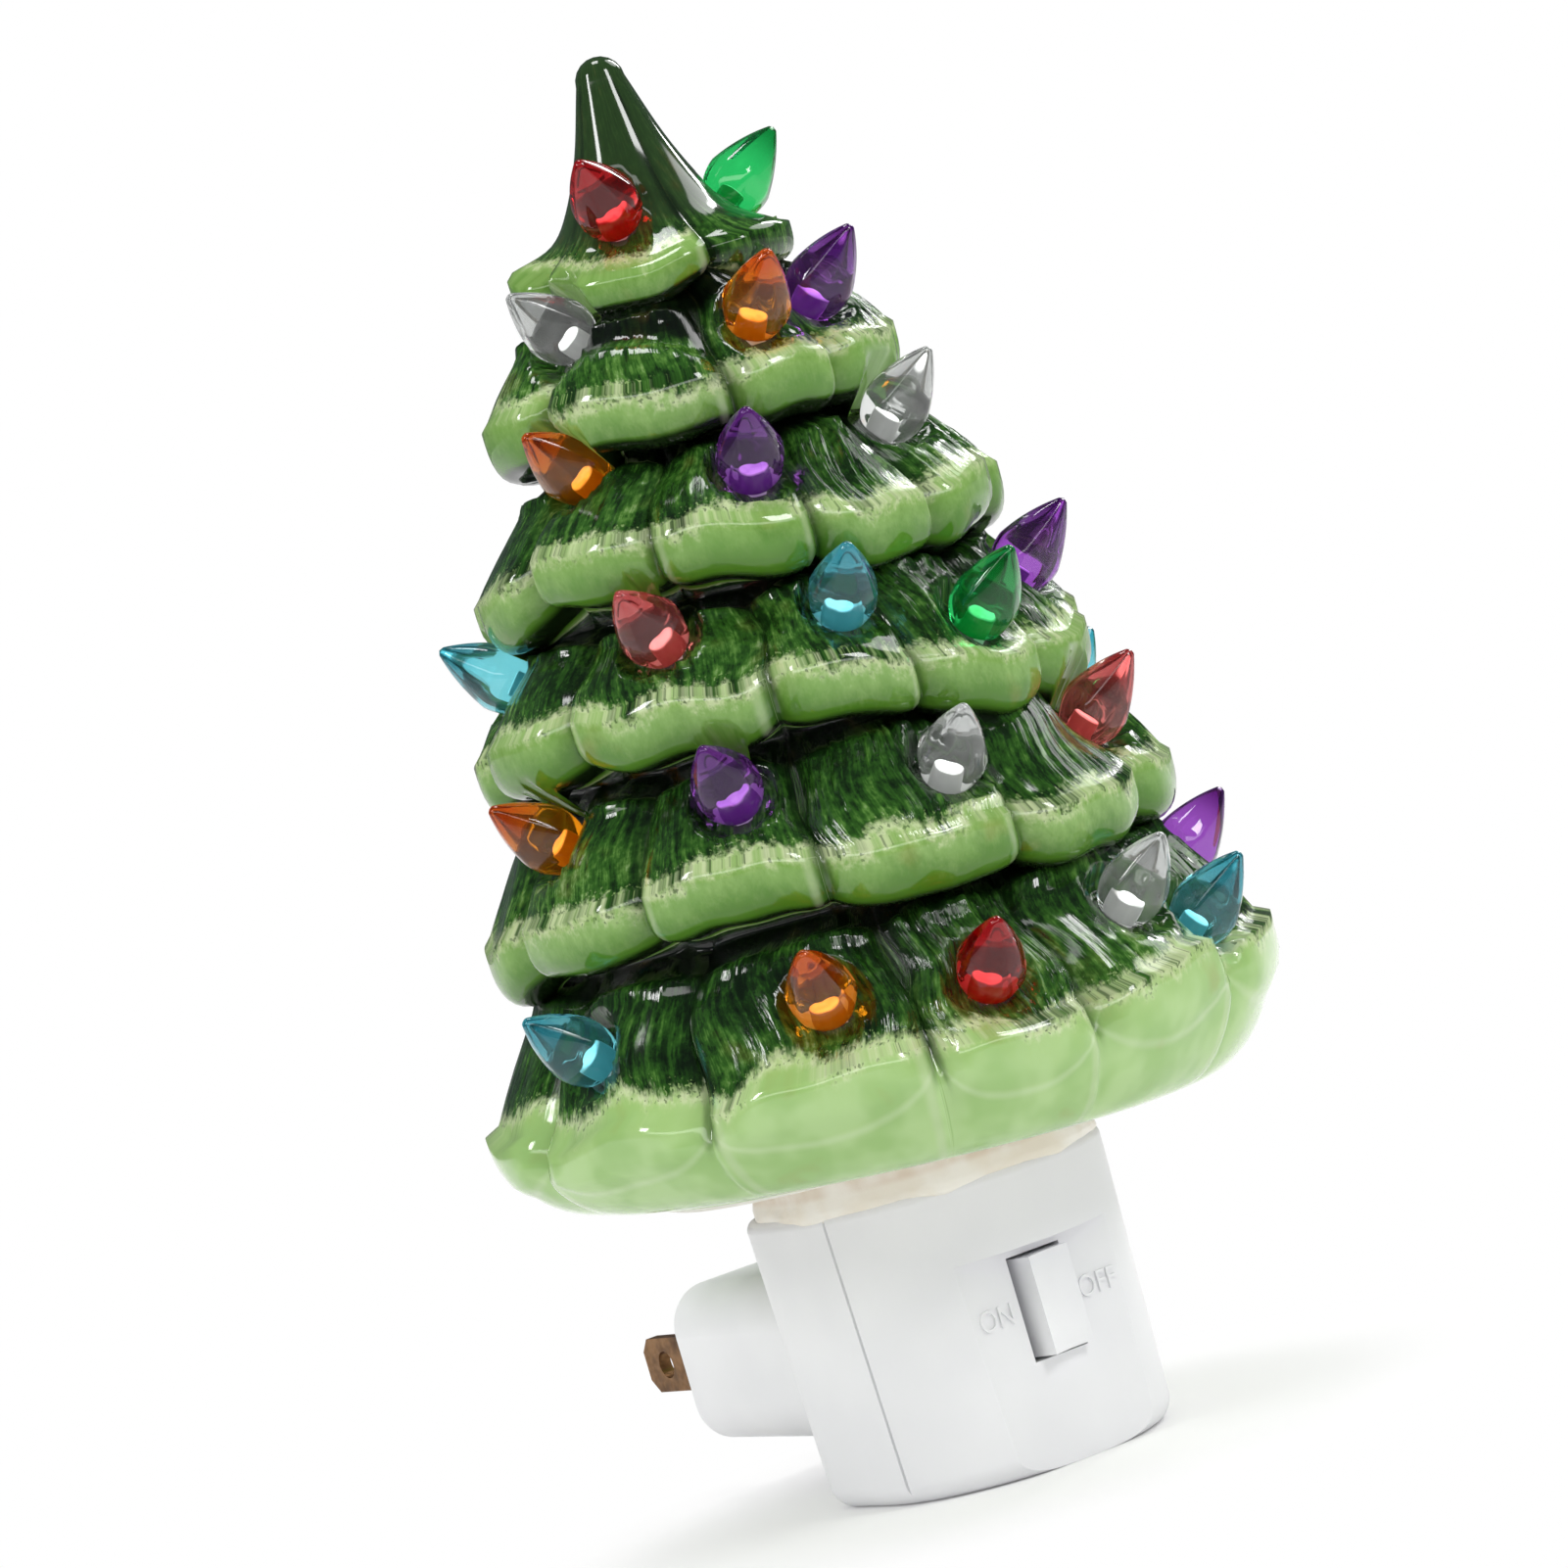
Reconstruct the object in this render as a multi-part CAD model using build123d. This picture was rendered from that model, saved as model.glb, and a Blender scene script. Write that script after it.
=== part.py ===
from build123d import *
import math
import os

# Plug-in night light: a hollow glazed ceramic tree with peg bulbs on a switched plug base.
# Lengths are millimetres. The pieces are drawn on the tree's axis (the Z axis), with the underside of the
# base at Z = 0 and the front towards -Y. They are written with the middle of the plug's end face as origin.
# Angles round the tree count from the front, positive towards +X.

# Tree
tree_height = 120.5
tree_radius = 43.0
tree_wall = 5.0
tree_floor = 4.5
tip_radius = 2.7
tip_step = 0.25
band_height = 6.4
band_tuck = 5.2
foot_tuck = 11.0
neck_step = 2.2
neck_rise = 2.0
edge_round = 0.8
valley_depth = 2.8

# Tiers from the tip down: reach as shares of the radius, edge level as shares of the height
tier_reach_shares = (0.363, 0.540, 0.680, 0.786, 0.890, 1.000)
tier_level_shares = (0.818, 0.697, 0.555, 0.422, 0.270, 0.104)
top_band_share = 0.62
top_tuck_share = 0.65
# Flare of the top tier, below its tip: shares of its reach, of its rise above the edge, and of what its
# branches rise or hang
flare_reach_shares = (0.33, 0.50, 0.66)
flare_rise_shares = (0.55, 0.29, 0.14)
flare_branch_shares = (0.1, 0.3, 0.5)
# The band under each edge rounds in as a quarter ellipse, cut at these shares of its height
band_cut_shares = (0.0, 0.5, 0.85, 1.0)
# How deep the valleys are at the top of a slope, at its edge, under the band and at the foot of the lowest
# tier's skirt, as shares of their depth
slope_valley_share = 0.35
edge_valley_share = 0.9
foot_valley_share = 0.8
skirt_valley_share = 0.35
cavity_edge_share = 0.15

# Valleys between the branches of each tier
tier_valley_degrees = (
    (-86, -5, 67, 139, 211),
    (-75, -20, 13, 55, 100, 145, 190, 237),
    (-81, -48, -13, 17, 49, 82, 115, 148, 181, 213, 245),
    (-107, -74, -32, -4, 27, 60, 92, 125, 157, 190, 221),
    (-95, -63, -32, 2, 34, 67, 100, 133, 166, 199, 232),
    (-92, -58, -24, 0, 29, 62, 95, 128, 161, 194, 232),
)
# How far each branch rises above its tier's level, or hangs below it, as shares of the band's height
tier_branch_shares = (
    (-0.25, -0.1, 0.1, 0.05, 0.2),
    (0.0, -0.1, -0.1, 0.05, -0.1, 0.1, 0.0, 0.2),
    (0.65, 0.25, -0.15, -0.05, 0.05, -0.1, 0.1, 0.0, -0.1, 0.05, 0.25),
    (0.4, 0.3, 0.15, -0.45, -0.45, 0.05, -0.1, 0.1, 0.0, -0.1, 0.05),
    (0.25, 0.4, -0.05, -0.15, 0.0, 0.1, -0.1, 0.05, -0.05, 0.1, 0.0),
    (-0.1, 0.0, -0.25, 0.0, 0.05, 0.0, 0.1, -0.1, 0.05, 0.0, -0.05),
)

# Peg bulbs
bulb_radius = 3.7
bulb_height = 10.6
bulb_tip_radius = 0.5
bulb_lift_degrees = 40.0
peg_radius = 1.75
peg_length = 8.0
peg_clearance = 0.08
seat_sink = 0.9
seat_clearance = 0.35
bulb_foot_share = 0.76
bulb_belly_share = 0.36
bulb_lower_share = 0.42
bulb_lower_width_share = 0.94
bulb_upper_share = 0.70
bulb_upper_width_share = 0.62
# Angle of each bulb, how far down its tier's slope it sits from the neck (0) to the edge (1), and its colour
tier_bulb_degrees_shares = (
    ((-47, 0.38, "red"), (76, 0.92, "green"), (156, 0.5, "orange")),
    ((-77, 0.44, "clear"), (-3, 0.66, "orange"), (27, 0.62, "purple"), (120, 0.5, "teal"),
     (172, 0.5, "red")),
    ((-73, 0.3, "orange"), (-21, 0.58, "purple"), (31, 0.44, "clear"), (115, 0.45, "pink"),
     (170, 0.5, "green")),
    ((-117, 0.42, "teal"), (-53, 0.42, "pink"), (-12, 0.52, "teal"), (16, 0.76, "green"),
     (48, 0.56, "purple"), (120, 0.5, "orange"), (190, 0.45, "clear")),
    ((-88, 0.46, "orange"), (-44, 0.48, "purple"), (-4, 0.62, "clear"), (37, 0.64, "pink"),
     (87, 0.48, "teal"), (135, 0.5, "green"), (195, 0.45, "red")),
    ((-82, 0.58, "teal"), (-37, 0.62, "orange"), (-12, 0.7, "red"), (18, 0.6, "clear"),
     (31, 0.92, "teal"), (74, 0.56, "purple"), (120, 0.6, "pink"), (184, 0.6, "orange")),
)

# Base
base_height = 32.5
base_radius = 18.5
base_offset = 2.0
base_back = 15.0
base_corner = 10.0
base_wall = 2.0
base_draft_degrees = 1.5
base_foot_fillet = 2.5
base_top_fillet = 1.2
ledge_drop = 8.8
panel_cut = 3.1
seam_y = -7.4
tongue_length = 1.6
tongue_share = 0.5
seam_clearance = 0.1
seam_groove_width = 0.35
seam_groove_depth = 0.3
glue_thickness = 3.7
glue_inset = 2.0
glue_width = 3.0
glue_fillet = 0.9

# Plug
plug_reach = 44.0
plug_drop = 1.25
boss_width = 22.4
boss_height = 18.0
boss_corner = 5.0
boss_growth = 0.6
boss_flare = 2.4
boss_flare_length = 4.0
boss_flare_cut_shares = (0.25, 0.5, 0.75, 1.0)
boss_end_wall = 3.0
blade_width = 6.35
blade_thickness = 1.52
blade_length = 16.5
blade_pitch = 12.7
blade_tail = 8.0
blade_chamfer = 1.5
blade_hole_radius = 1.6
blade_hole_from_tip = 4.6
slot_clearance = 0.08

# Switch
switch_drop = 6.7
opening_width = 6.8
opening_height = 11.4
rocker_width = 5.4
rocker_end_gap = 0.35
rocker_tilt_degrees = 7.0
pivot_setback = 4.0
rocker_front = 5.9
rocker_dish = 0.5
rocker_back = 2.6
rocker_back_chamfer = 1.2
trunnion_radius = 1.2
trunnion_length = 2.0
running_clearance = 0.05
ear_width = 4.8
ear_height = 2.4
ear_back = 2.0
plunger_radius = 1.0
plunger_length = 5.4
plunger_reach = 6.2
spring_length = 3.2
spring_wall = 0.3
contact_gap = 0.3
contact_thickness = 0.6
contact_length = 10.0
contact_height = 8.0
contact_tilt_degrees = 8.0
contact_pin_radius = 0.8
pad_gap = 0.12
cradle_width = 4.0
cradle_setback = 1.4
cradle_sheet = 0.8
cradle_play = 0.3
cradle_lip = 1.5

# Lamp and its holder
holder_radius = 9.5
holder_rise = 9.5
holder_drop = 8.5
holder_floor = 2.0
holder_clearance = 0.15
flange_radius = 11.5
flange_thickness = 2.0
socket_radius = 6.6
socket_wall = 0.45
socket_ring = 0.5
socket_length = 15.0
socket_ring_share = 0.7
socket_clearance = 0.1
tab_width = 3.0
contact_disc_radius = 3.0
contact_disc_thickness = 0.6
rivet_radius = 1.5
strip_thickness = 0.8
strip_width = 5.0
lamp_radius = 11.0
lamp_length = 54.0
lamp_cap_radius = 5.95
lamp_cap_length = 13.5
lamp_thread_depth = 0.35
lamp_thread_pitch = 2.54
lamp_tip_radius = 1.8
lamp_tip_height = 0.9
lamp_insulator_height = 1.3
lamp_glass_wall = 0.7
lamp_neck_radius = 5.2
lamp_tree_clearance = 0.5
lamp_belly_share = 0.46
lamp_upper_share = 0.8
lamp_upper_width_share = 0.62
lamp_crown_share = 0.12
stem_radius = 2.2
stem_share = 0.42
wire_radius = 0.35
filament_radius = 0.3
filament_width = 9.0
filament_share = 0.55
overrun = 1.0

# Levels and planes shared by several pieces
tree_foot = base_height + glue_thickness
ledge_height = base_height - ledge_drop
switch_height = ledge_height - switch_drop
plug_height = base_height / 2 - plug_drop
tier_count = len(tier_reach_shares)
panel_y = -(base_offset + base_radius - panel_cut)
pivot_y = panel_y + pivot_setback
contact_y = pivot_y + plunger_reach + contact_gap + contact_thickness / 2
tree_hole_radius = lamp_radius + lamp_tree_clearance
holder_bottom = base_height - holder_drop
holder_top = base_height + holder_rise
socket_floor = holder_bottom + holder_floor
lamp_foot = socket_floor + contact_disc_thickness
blade_outer = blade_pitch / 2 + blade_thickness / 2


def box_between(low, high):
    size = [top - bottom for bottom, top in zip(low, high)]
    return Pos(*low) * Box(*size, align=(Align.MIN, Align.MIN, Align.MIN))


def rod(radius, z_low, z_high):
    """Upright round bar on the Z axis."""
    return Pos(0, 0, z_low) * Cylinder(radius, z_high - z_low, align=(Align.CENTER, Align.CENTER, Align.MIN))


def turned(edges):
    """Solid turned round the Z axis from a closed outline in the XZ plane."""
    return revolve(make_face(edges), Axis.Z)


def polar(radius, degrees, z):
    angle = math.radians(degrees)
    return Vector(radius * math.sin(angle), -radius * math.cos(angle), z)


def tier_radius(tier):
    return tree_radius * tier_reach_shares[tier]


def tier_level(tier):
    return tree_height * tier_level_shares[tier]


def tier_band(tier):
    """Height and tuck of the pale band under a tier's edge."""
    if tier == 0:
        return band_height * top_band_share, band_tuck * top_tuck_share
    if tier == tier_count - 1:
        return tier_level(tier), foot_tuck
    return band_height, band_tuck


def tier_slope(tier):
    """Sections of a tier from its neck to its edge: radius, valley depth, height above the tree's foot, and
    the share of its branches' rise that a section takes."""
    edge_level = tier_level(tier) + edge_round
    edge = (tier_radius(tier) - edge_round, valley_depth * edge_valley_share, edge_level, 1)
    if tier == 0:
        rise = tree_height - tier_level(0)
        shares = zip(flare_reach_shares, flare_rise_shares, flare_branch_shares)
        flare = [(tier_radius(0) * reach, valley_depth * reach * slope_valley_share,
                  tier_level(0) + rise * up, branch) for reach, up, branch in shares]
        shoulder = (tip_radius + tip_step, tip_step * slope_valley_share, tree_height - tip_radius, 0)
        return [shoulder] + flare + [edge]
    band, tuck = tier_band(tier - 1)
    neck_radius = tier_radius(tier - 1) - tuck - neck_step
    neck_level = tier_level(tier - 1) - band + neck_rise
    return [(neck_radius, valley_depth * slope_valley_share, neck_level, 0), edge]


def tier_skirt(tier):
    """Sections of a tier's band from its edge down, and of its underside, which ends in the next tier."""
    band, tuck = tier_band(tier)
    lowest = tier == tier_count - 1
    foot_share = skirt_valley_share if lowest else foot_valley_share
    sections = []
    for share in band_cut_shares:
        depth = valley_depth * (1 + (foot_share - 1) * share)
        inward = tuck * (1 - math.sqrt(1 - share ** 2))
        branch = 1 - share if lowest else 1
        sections.append((tier_radius(tier) - inward, depth, tier_level(tier) - band * share, branch))
    if not lowest:
        neck_radius, depth, neck_level, _ = tier_slope(tier + 1)[0]
        sections.append((neck_radius - neck_step / 2, depth, neck_level - neck_rise, 0))
    return sections


def tier_branches(tier):
    """Start and end angle of each branch of a tier, and its rise at its start, its crest and its end."""
    angles = tier_valley_degrees[tier]
    rises = [band_height * share for share in tier_branch_shares[tier]]
    ends = angles[1:] + (angles[0] + 360,)
    neighbours = zip(rises[-1:] + rises[:-1], rises, rises[1:] + rises[:1])
    return [(start, end, (rise + before) / 2, rise, (rise + after) / 2)
            for start, end, (before, rise, after) in zip(angles, ends, neighbours)]


def ring_point(degrees, section, tier):
    """Distance from the axis and height of a tier's section in one direction."""
    radius, depth, level, share = section
    start, end, start_rise, rise, end_rise = next(
        branch for branch in tier_branches(tier) if (degrees - branch[0]) % 360 < branch[1] - branch[0])
    half_width = math.radians(end - start) / 2
    away = math.radians((degrees - start) % 360) - half_width
    low = radius - depth
    valley = low * math.cos(half_width)
    centre = (radius ** 2 - low ** 2) / (2 * (radius - valley))
    reach = centre * math.cos(away) + math.sqrt((radius - centre) ** 2 - (centre * math.sin(away)) ** 2)
    inward = (radius - reach * math.cos(away)) / (radius - valley)
    aside = reach * math.sin(away) / (low * math.sin(half_width))
    valley_rise = (start_rise + end_rise) / 2
    branch_rise = rise + (valley_rise - rise) * inward + (end_rise - start_rise) / 2 * aside
    return reach, level + share * branch_rise


def lobed_ring(section, tier):
    """One section of a tier: an arc for each branch, meeting in the valleys."""
    radius, depth, level, share = section
    z = tree_foot + level
    arcs = []
    for start, end, start_rise, rise, end_rise in tier_branches(tier):
        arcs.append(ThreePointArc(polar(radius - depth, start, z + share * start_rise),
                                  polar(radius, (start + end) / 2, z + share * rise),
                                  polar(radius - depth, end, z + share * end_rise)))
    return Wire(arcs)


def tier_solid(tier):
    sections = tier_slope(tier) + tier_skirt(tier)
    return Solid.make_loft([lobed_ring(section, tier) for section in sections], ruled=True)


def tree_tip():
    """Rounded tip, with a shank that reaches down into the top tier."""
    shoulder, shank_level = [section[2] for section in tier_slope(0)[:2]]
    bend = tip_radius * math.sqrt(0.5)
    shank = Polyline((0, tree_height), (0, shank_level), (tip_radius, shank_level), (tip_radius, shoulder))
    dome = ThreePointArc((tip_radius, shoulder), (bend, shoulder + bend), (0, tree_height))
    edges = (Plane.XZ * shank).edges() + (Plane.XZ * dome).edges()
    return Pos(0, 0, tree_foot) * turned(edges)


def tree_cavity():
    """Inside of the tree: it follows the necks and the edges of the tiers at the wall's thickness."""
    points = [(0, tree_floor)]
    for tier in reversed(range(tier_count)):
        band, tuck = tier_band(tier)
        edge_radius = tier_radius(tier) - valley_depth - tree_wall
        edge_level = tier_level(tier) - band * cavity_edge_share
        if tier == tier_count - 1:
            points.append((edge_radius - tree_wall * foot_valley_share, tree_floor))
        points.append((edge_radius, edge_level))
        if tier > 0:
            neck_radius, _, neck_level, _ = tier_slope(tier)[0]
            points.append((neck_radius - tree_wall, neck_level - neck_rise))
    points.append((0, tier_level(0) + tree_wall))
    outline = Plane.XZ * Polyline(*points, close=True)
    hole = rod(tree_hole_radius, -overrun, tree_floor + overrun)
    return Pos(0, 0, tree_foot) * (turned(outline.edges()) + hole)


def bulb_seat(tier, degrees, share):
    """Frame of a bulb's seat: its Z axis is the bulb's own axis."""
    slope = tier_slope(tier)[-3:-1] if tier == 0 else tier_slope(tier)
    upper, lower = [ring_point(degrees, section, tier) for section in slope]
    radius = upper[0] + (lower[0] - upper[0]) * share
    level = upper[1] + (lower[1] - upper[1]) * share
    surface = polar(radius, degrees, tree_foot + level)
    lift = math.radians(bulb_lift_degrees)
    axis = polar(math.cos(lift), degrees, math.sin(lift))
    return Plane(origin=surface - axis * seat_sink, z_dir=axis, x_dir=polar(1, degrees + 90, 0))


def bulb():
    """Teardrop bulb on its peg, with its shoulder at Z = 0."""
    foot = bulb_radius * bulb_foot_share
    belly = bulb_height * bulb_belly_share
    crown_level = bulb_height - bulb_tip_radius / 2
    peg = Polyline((0, bulb_height), (0, -peg_length), (peg_radius, -peg_length), (peg_radius, 0), (foot, 0))
    lower_side = ThreePointArc((foot, 0), (bulb_radius * bulb_lower_width_share, belly * bulb_lower_share),
                               (bulb_radius, belly))
    upper_side = ThreePointArc((bulb_radius, belly),
                               (bulb_radius * bulb_upper_width_share, bulb_height * bulb_upper_share),
                               (bulb_tip_radius, crown_level))
    crown = Line((bulb_tip_radius, crown_level), (0, bulb_height))
    edges = [(Plane.XZ * part).edges() for part in (peg, lower_side, upper_side, crown)]
    return turned([edge for part in edges for edge in part])


def seat_tool():
    """What a bulb's seat and its peg hole take out of the tree."""
    flat = rod(bulb_radius + seat_clearance, 0, bulb_height)
    drill = rod(peg_radius + peg_clearance, -peg_length - tree_wall, overrun)
    return flat + drill


def tree_shell(seats):
    body = tier_solid(0) + tree_tip()
    for tier in range(1, tier_count):
        body = body + tier_solid(tier)
    tool = seat_tool()
    cuts = [tree_cavity()] + [seat.location * tool for seat in seats]
    return body - cuts


def base_outline(inset, z):
    """Round front, straight sides and a back with round corners."""
    half = base_radius - inset
    back = base_back - inset
    corner = base_corner - inset
    bend = corner * (1 - math.sqrt(0.5))
    front = ThreePointArc((-half, -base_offset), (0, -base_offset - half), (half, -base_offset))
    right = Line((half, -base_offset), (half, back - corner))
    right_corner = ThreePointArc((half, back - corner), (half - bend, back - bend), (half - corner, back))
    rear = Line((half - corner, back), (corner - half, back))
    left_corner = ThreePointArc((corner - half, back), (bend - half, back - bend), (-half, back - corner))
    left = Line((-half, back - corner), (-half, -base_offset))
    return Pos(0, 0, z) * make_face([front, right, right_corner, rear, left_corner, left])


def base_block(inset, low, high):
    """Drafted block of the base between two levels, set in from the outside by a wall."""
    top_inset = inset + (base_height - high) * math.tan(math.radians(base_draft_degrees))
    return extrude(base_outline(top_inset, high), amount=high - low, dir=(0, 0, -1), taper=base_draft_degrees)


def panel_block(wall, low):
    """Space in front of the flat switch panel, below the ledge."""
    reach = base_radius + base_offset + overrun
    return box_between((-reach, -reach, low), (reach, panel_y + wall, ledge_height + wall))


def boss(inset, start, end):
    """Plug boss between two planes along Y, flared where it leaves the base."""
    root = base_back - base_wall

    def section(y):
        grow = boss_growth * (plug_reach - y) / (plug_reach - root)
        flare = boss_flare * max(0, 1 - (y - root) / boss_flare_length) ** 2
        width = boss_width + 2 * (grow + flare - inset)
        height = boss_height + 2 * (grow + flare - inset)
        plane = Plane(origin=(0, y, plug_height), x_dir=(1, 0, 0), z_dir=(0, 1, 0))
        return (plane * RectangleRounded(width, height, boss_corner + grow + flare - inset)).wire()

    flare_planes = [root + boss_flare_length * share for share in boss_flare_cut_shares]
    planes = [start] + [y for y in flare_planes if start < y < end] + [end]
    return Solid.make_loft([section(y) for y in planes], ruled=True)


def blade_slots():
    half_x = blade_thickness / 2 + slot_clearance
    half_z = blade_width / 2 + slot_clearance
    slots = []
    for side in (-1, 1):
        x = side * blade_pitch / 2
        slots.append(box_between((x - half_x, plug_reach - boss_end_wall - overrun, plug_height - half_z),
                                 (x + half_x, plug_reach + overrun, plug_height + half_z)))
    return slots


def base_shell():
    """Whole base before it is parted into its two shells."""
    outside = base_block(0, 0, base_height)
    outside = fillet(outside.edges().group_by(Axis.Z)[0], base_foot_fillet)
    outside = fillet(outside.edges().group_by(Axis.Z)[-1], base_top_fillet)
    outside -= panel_block(0, -overrun)
    inside = base_block(base_wall, base_wall, base_height - base_wall)
    inside -= panel_block(base_wall, 0)
    root = base_back - base_wall
    plug_outside = boss(0, root, plug_reach)
    plug_inside = boss(base_wall, root - base_wall, plug_reach - boss_end_wall)
    hole_radius = holder_radius + holder_clearance
    holder_hole = rod(hole_radius, base_height - base_wall - overrun, base_height + overrun)
    half_x = opening_width / 2
    half_z = opening_height / 2
    opening = box_between((-half_x, panel_y - overrun, switch_height - half_z),
                          (half_x, panel_y + base_wall + overrun, switch_height + half_z))
    return outside + plug_outside - [inside, plug_inside, holder_hole, opening] - blade_slots()


def seam_ring(play, reach):
    """Tongue on the inner half of the wall, behind the seam."""
    skin = base_wall * tongue_share + play
    ring = base_block(skin, skin, base_height - skin)
    ring -= base_block(base_wall, base_wall, base_height - base_wall)
    span = base_radius + base_back
    slab = box_between((-span, seam_y, -overrun), (span, seam_y + reach, base_height + overrun))
    hole = rod(holder_radius + holder_clearance, 0, base_height + overrun)
    return (ring & slab) - hole


def seam_groove():
    """Shallow line round the outside, where the two shells meet."""
    skin = seam_groove_depth
    ring = base_block(0, -overrun, base_height + overrun) - base_block(skin, skin, base_height - skin)
    span = base_radius + base_back
    half = seam_groove_width / 2
    return ring & box_between((-span, seam_y - half, -overrun), (span, seam_y + half, base_height + overrun))


def switch_ears():
    """Two lugs behind the panel that carry the rocker's trunnions."""
    ears = []
    bore = Pos(0, pivot_y, 0) * rod(trunnion_radius + running_clearance, 0, base_height)
    for side in (-1, 1):
        inner = switch_height + side * opening_height / 2
        outer = inner + side * ear_height
        low, high = sorted((inner, outer))
        half = ear_width / 2
        ear = box_between((-half, panel_y + base_wall, low), (half, pivot_y + ear_back, high))
        ears.append(ear - bore)
    return ears


def housings():
    shell = base_shell() - seam_groove()
    span = base_radius + plug_reach
    ahead = box_between((-span, -span, -overrun), (span, seam_y, base_height + overrun))
    front = (shell & ahead) + seam_ring(0, tongue_length) + switch_ears()
    rear = shell - ahead - seam_ring(-seam_clearance, tongue_length + seam_clearance)
    return front, rear


def adhesive_bead():
    """Ring of glue that follows the outline of the base."""
    bead = extrude(base_outline(glue_inset, base_height), amount=glue_thickness)
    bead = fillet(bead.edges().group_by(Axis.Z)[-1], glue_fillet)
    return bead - extrude(base_outline(glue_inset + glue_width, base_height), amount=glue_thickness)


def blade(side):
    x = side * blade_pitch / 2
    tip = plug_reach + blade_length
    half = blade_width / 2
    flat = half - blade_chamfer
    tail = plug_reach - blade_tail
    shoulder = tip - blade_chamfer
    outline = Polyline((tail, -half), (shoulder, -half), (tip, -flat), (tip, flat), (shoulder, half),
                       (tail, half), close=True)
    hole = Pos(tip - blade_hole_from_tip, 0) * Circle(blade_hole_radius)
    plane = Plane(origin=(x - blade_thickness / 2, 0, plug_height), x_dir=(0, 1, 0), z_dir=(1, 0, 0))
    return extrude(plane * (make_face(outline) - hole), amount=blade_thickness)


def strip_end():
    """Where the two strips end, halfway along the hidden part of a blade."""
    return plug_reach - (blade_tail + boss_end_wall) / 2


def neutral_strip():
    outer = -blade_outer - strip_thickness
    low = plug_height - strip_width / 2
    high = plug_height + strip_width / 2
    half = tab_width / 2
    inner = -socket_radius * socket_ring_share
    run = box_between((outer, -half, low), (-blade_outer, strip_end(), high))
    riser = box_between((outer, -half, low), (-blade_outer, half, holder_bottom))
    tab = box_between((outer, -half, holder_bottom - strip_thickness), (inner, half, holder_bottom))
    return run + riser + tab


def pad_y():
    """Front face of the fixed contact that the tilting contact meets when the switch is on."""
    end = contact_length / 2
    tilt = math.radians(contact_tilt_degrees)
    return contact_y + contact_thickness / 2 / math.cos(tilt) + end * math.sin(tilt) + pad_gap


def live_strip():
    outer = blade_outer + strip_thickness
    low = plug_height - strip_width / 2
    high = plug_height + strip_width / 2
    front = pad_y()
    run = box_between((blade_outer, front, low), (outer, strip_end(), high))
    pad = box_between((cradle_width, front, low), (outer, front + strip_thickness, high))
    return run + pad


def switch_terminal():
    """Cradle of the tilting contact, with a strip up to the lamp holder's centre contact."""
    half = cradle_width / 2
    back = contact_y + cradle_setback
    ear_start = contact_height / 2 + cradle_play
    plate = box_between((-half, back, switch_height - ear_start - cradle_sheet),
                        (half, back + cradle_sheet, holder_bottom))
    top = box_between((-half, back, holder_bottom - strip_thickness), (half, rivet_radius, holder_bottom))
    terminal = plate + top
    for side in (-1, 1):
        inner = switch_height + side * ear_start
        low, high = sorted((inner, inner + side * cradle_sheet))
        terminal += box_between((-half, contact_y - cradle_lip, low), (half, back, high))
    bore_half = ear_start + cradle_sheet + cradle_play
    bore = rod(contact_pin_radius + running_clearance, switch_height - bore_half, switch_height + bore_half)
    return terminal - Pos(0, contact_y, 0) * bore


def tilting_contact():
    plate = Box(contact_length, contact_thickness, contact_height)
    pin_half = contact_height / 2 + cradle_play + cradle_sheet
    contact = plate + rod(contact_pin_radius, -pin_half, pin_half)
    groove = Pos(0, -contact_pin_radius, 0) * Box(contact_length, 2 * contact_pin_radius - contact_thickness,
                                                  contact_height)
    return Location((0, contact_y, switch_height), (0, 0, -contact_tilt_degrees)) * (contact - groove)


def rocker_place(piece):
    """Set a rocker piece, drawn square on its pivot, in the OFF position: left side out."""
    return Location((0, pivot_y, switch_height), (0, 0, rocker_tilt_degrees)) * piece


def along_y(radius, start, end):
    bar = Cylinder(radius, end - start, align=(Align.CENTER, Align.CENTER, Align.MIN))
    return Location((0, start, 0), (-90, 0, 0)) * bar


def switch_rocker():
    half = rocker_width / 2
    height = opening_height - 2 * rocker_end_gap
    side = Polyline((half, -rocker_front), (half, rocker_back - rocker_back_chamfer),
                    (half - rocker_back_chamfer, rocker_back), (rocker_back_chamfer - half, rocker_back),
                    (-half, rocker_back - rocker_back_chamfer), (-half, -rocker_front))
    face = ThreePointArc((-half, -rocker_front), (0, rocker_dish - rocker_front), (half, -rocker_front))
    body = Pos(0, 0, -height / 2) * extrude(make_face(side.edges() + face.edges()), amount=height)
    pin_half = opening_height / 2 + trunnion_length
    body += rod(trunnion_radius, -pin_half, pin_half)
    bore = along_y(plunger_radius + running_clearance, plunger_reach - plunger_length - spring_length,
                   rocker_back + overrun)
    return rocker_place(body - bore)


def switch_plunger():
    start = plunger_reach - plunger_length
    neck = plunger_reach - plunger_radius
    return rocker_place(along_y(plunger_radius, start, neck) + Pos(0, neck, 0) * Sphere(plunger_radius))


def switch_spring():
    end = plunger_reach - plunger_length
    start = end - spring_length
    sleeve = along_y(plunger_radius, start, end) - along_y(plunger_radius - spring_wall, start - overrun,
                                                           end + overrun)
    return rocker_place(sleeve)


def tab_block(play):
    """Leg of the socket shell that passes down through the holder's floor."""
    inner = socket_radius * socket_ring_share
    half = tab_width / 2 + play
    outer = socket_radius + play
    return box_between((-outer, -half, holder_bottom - play), (play - inner, half, socket_floor))


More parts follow.
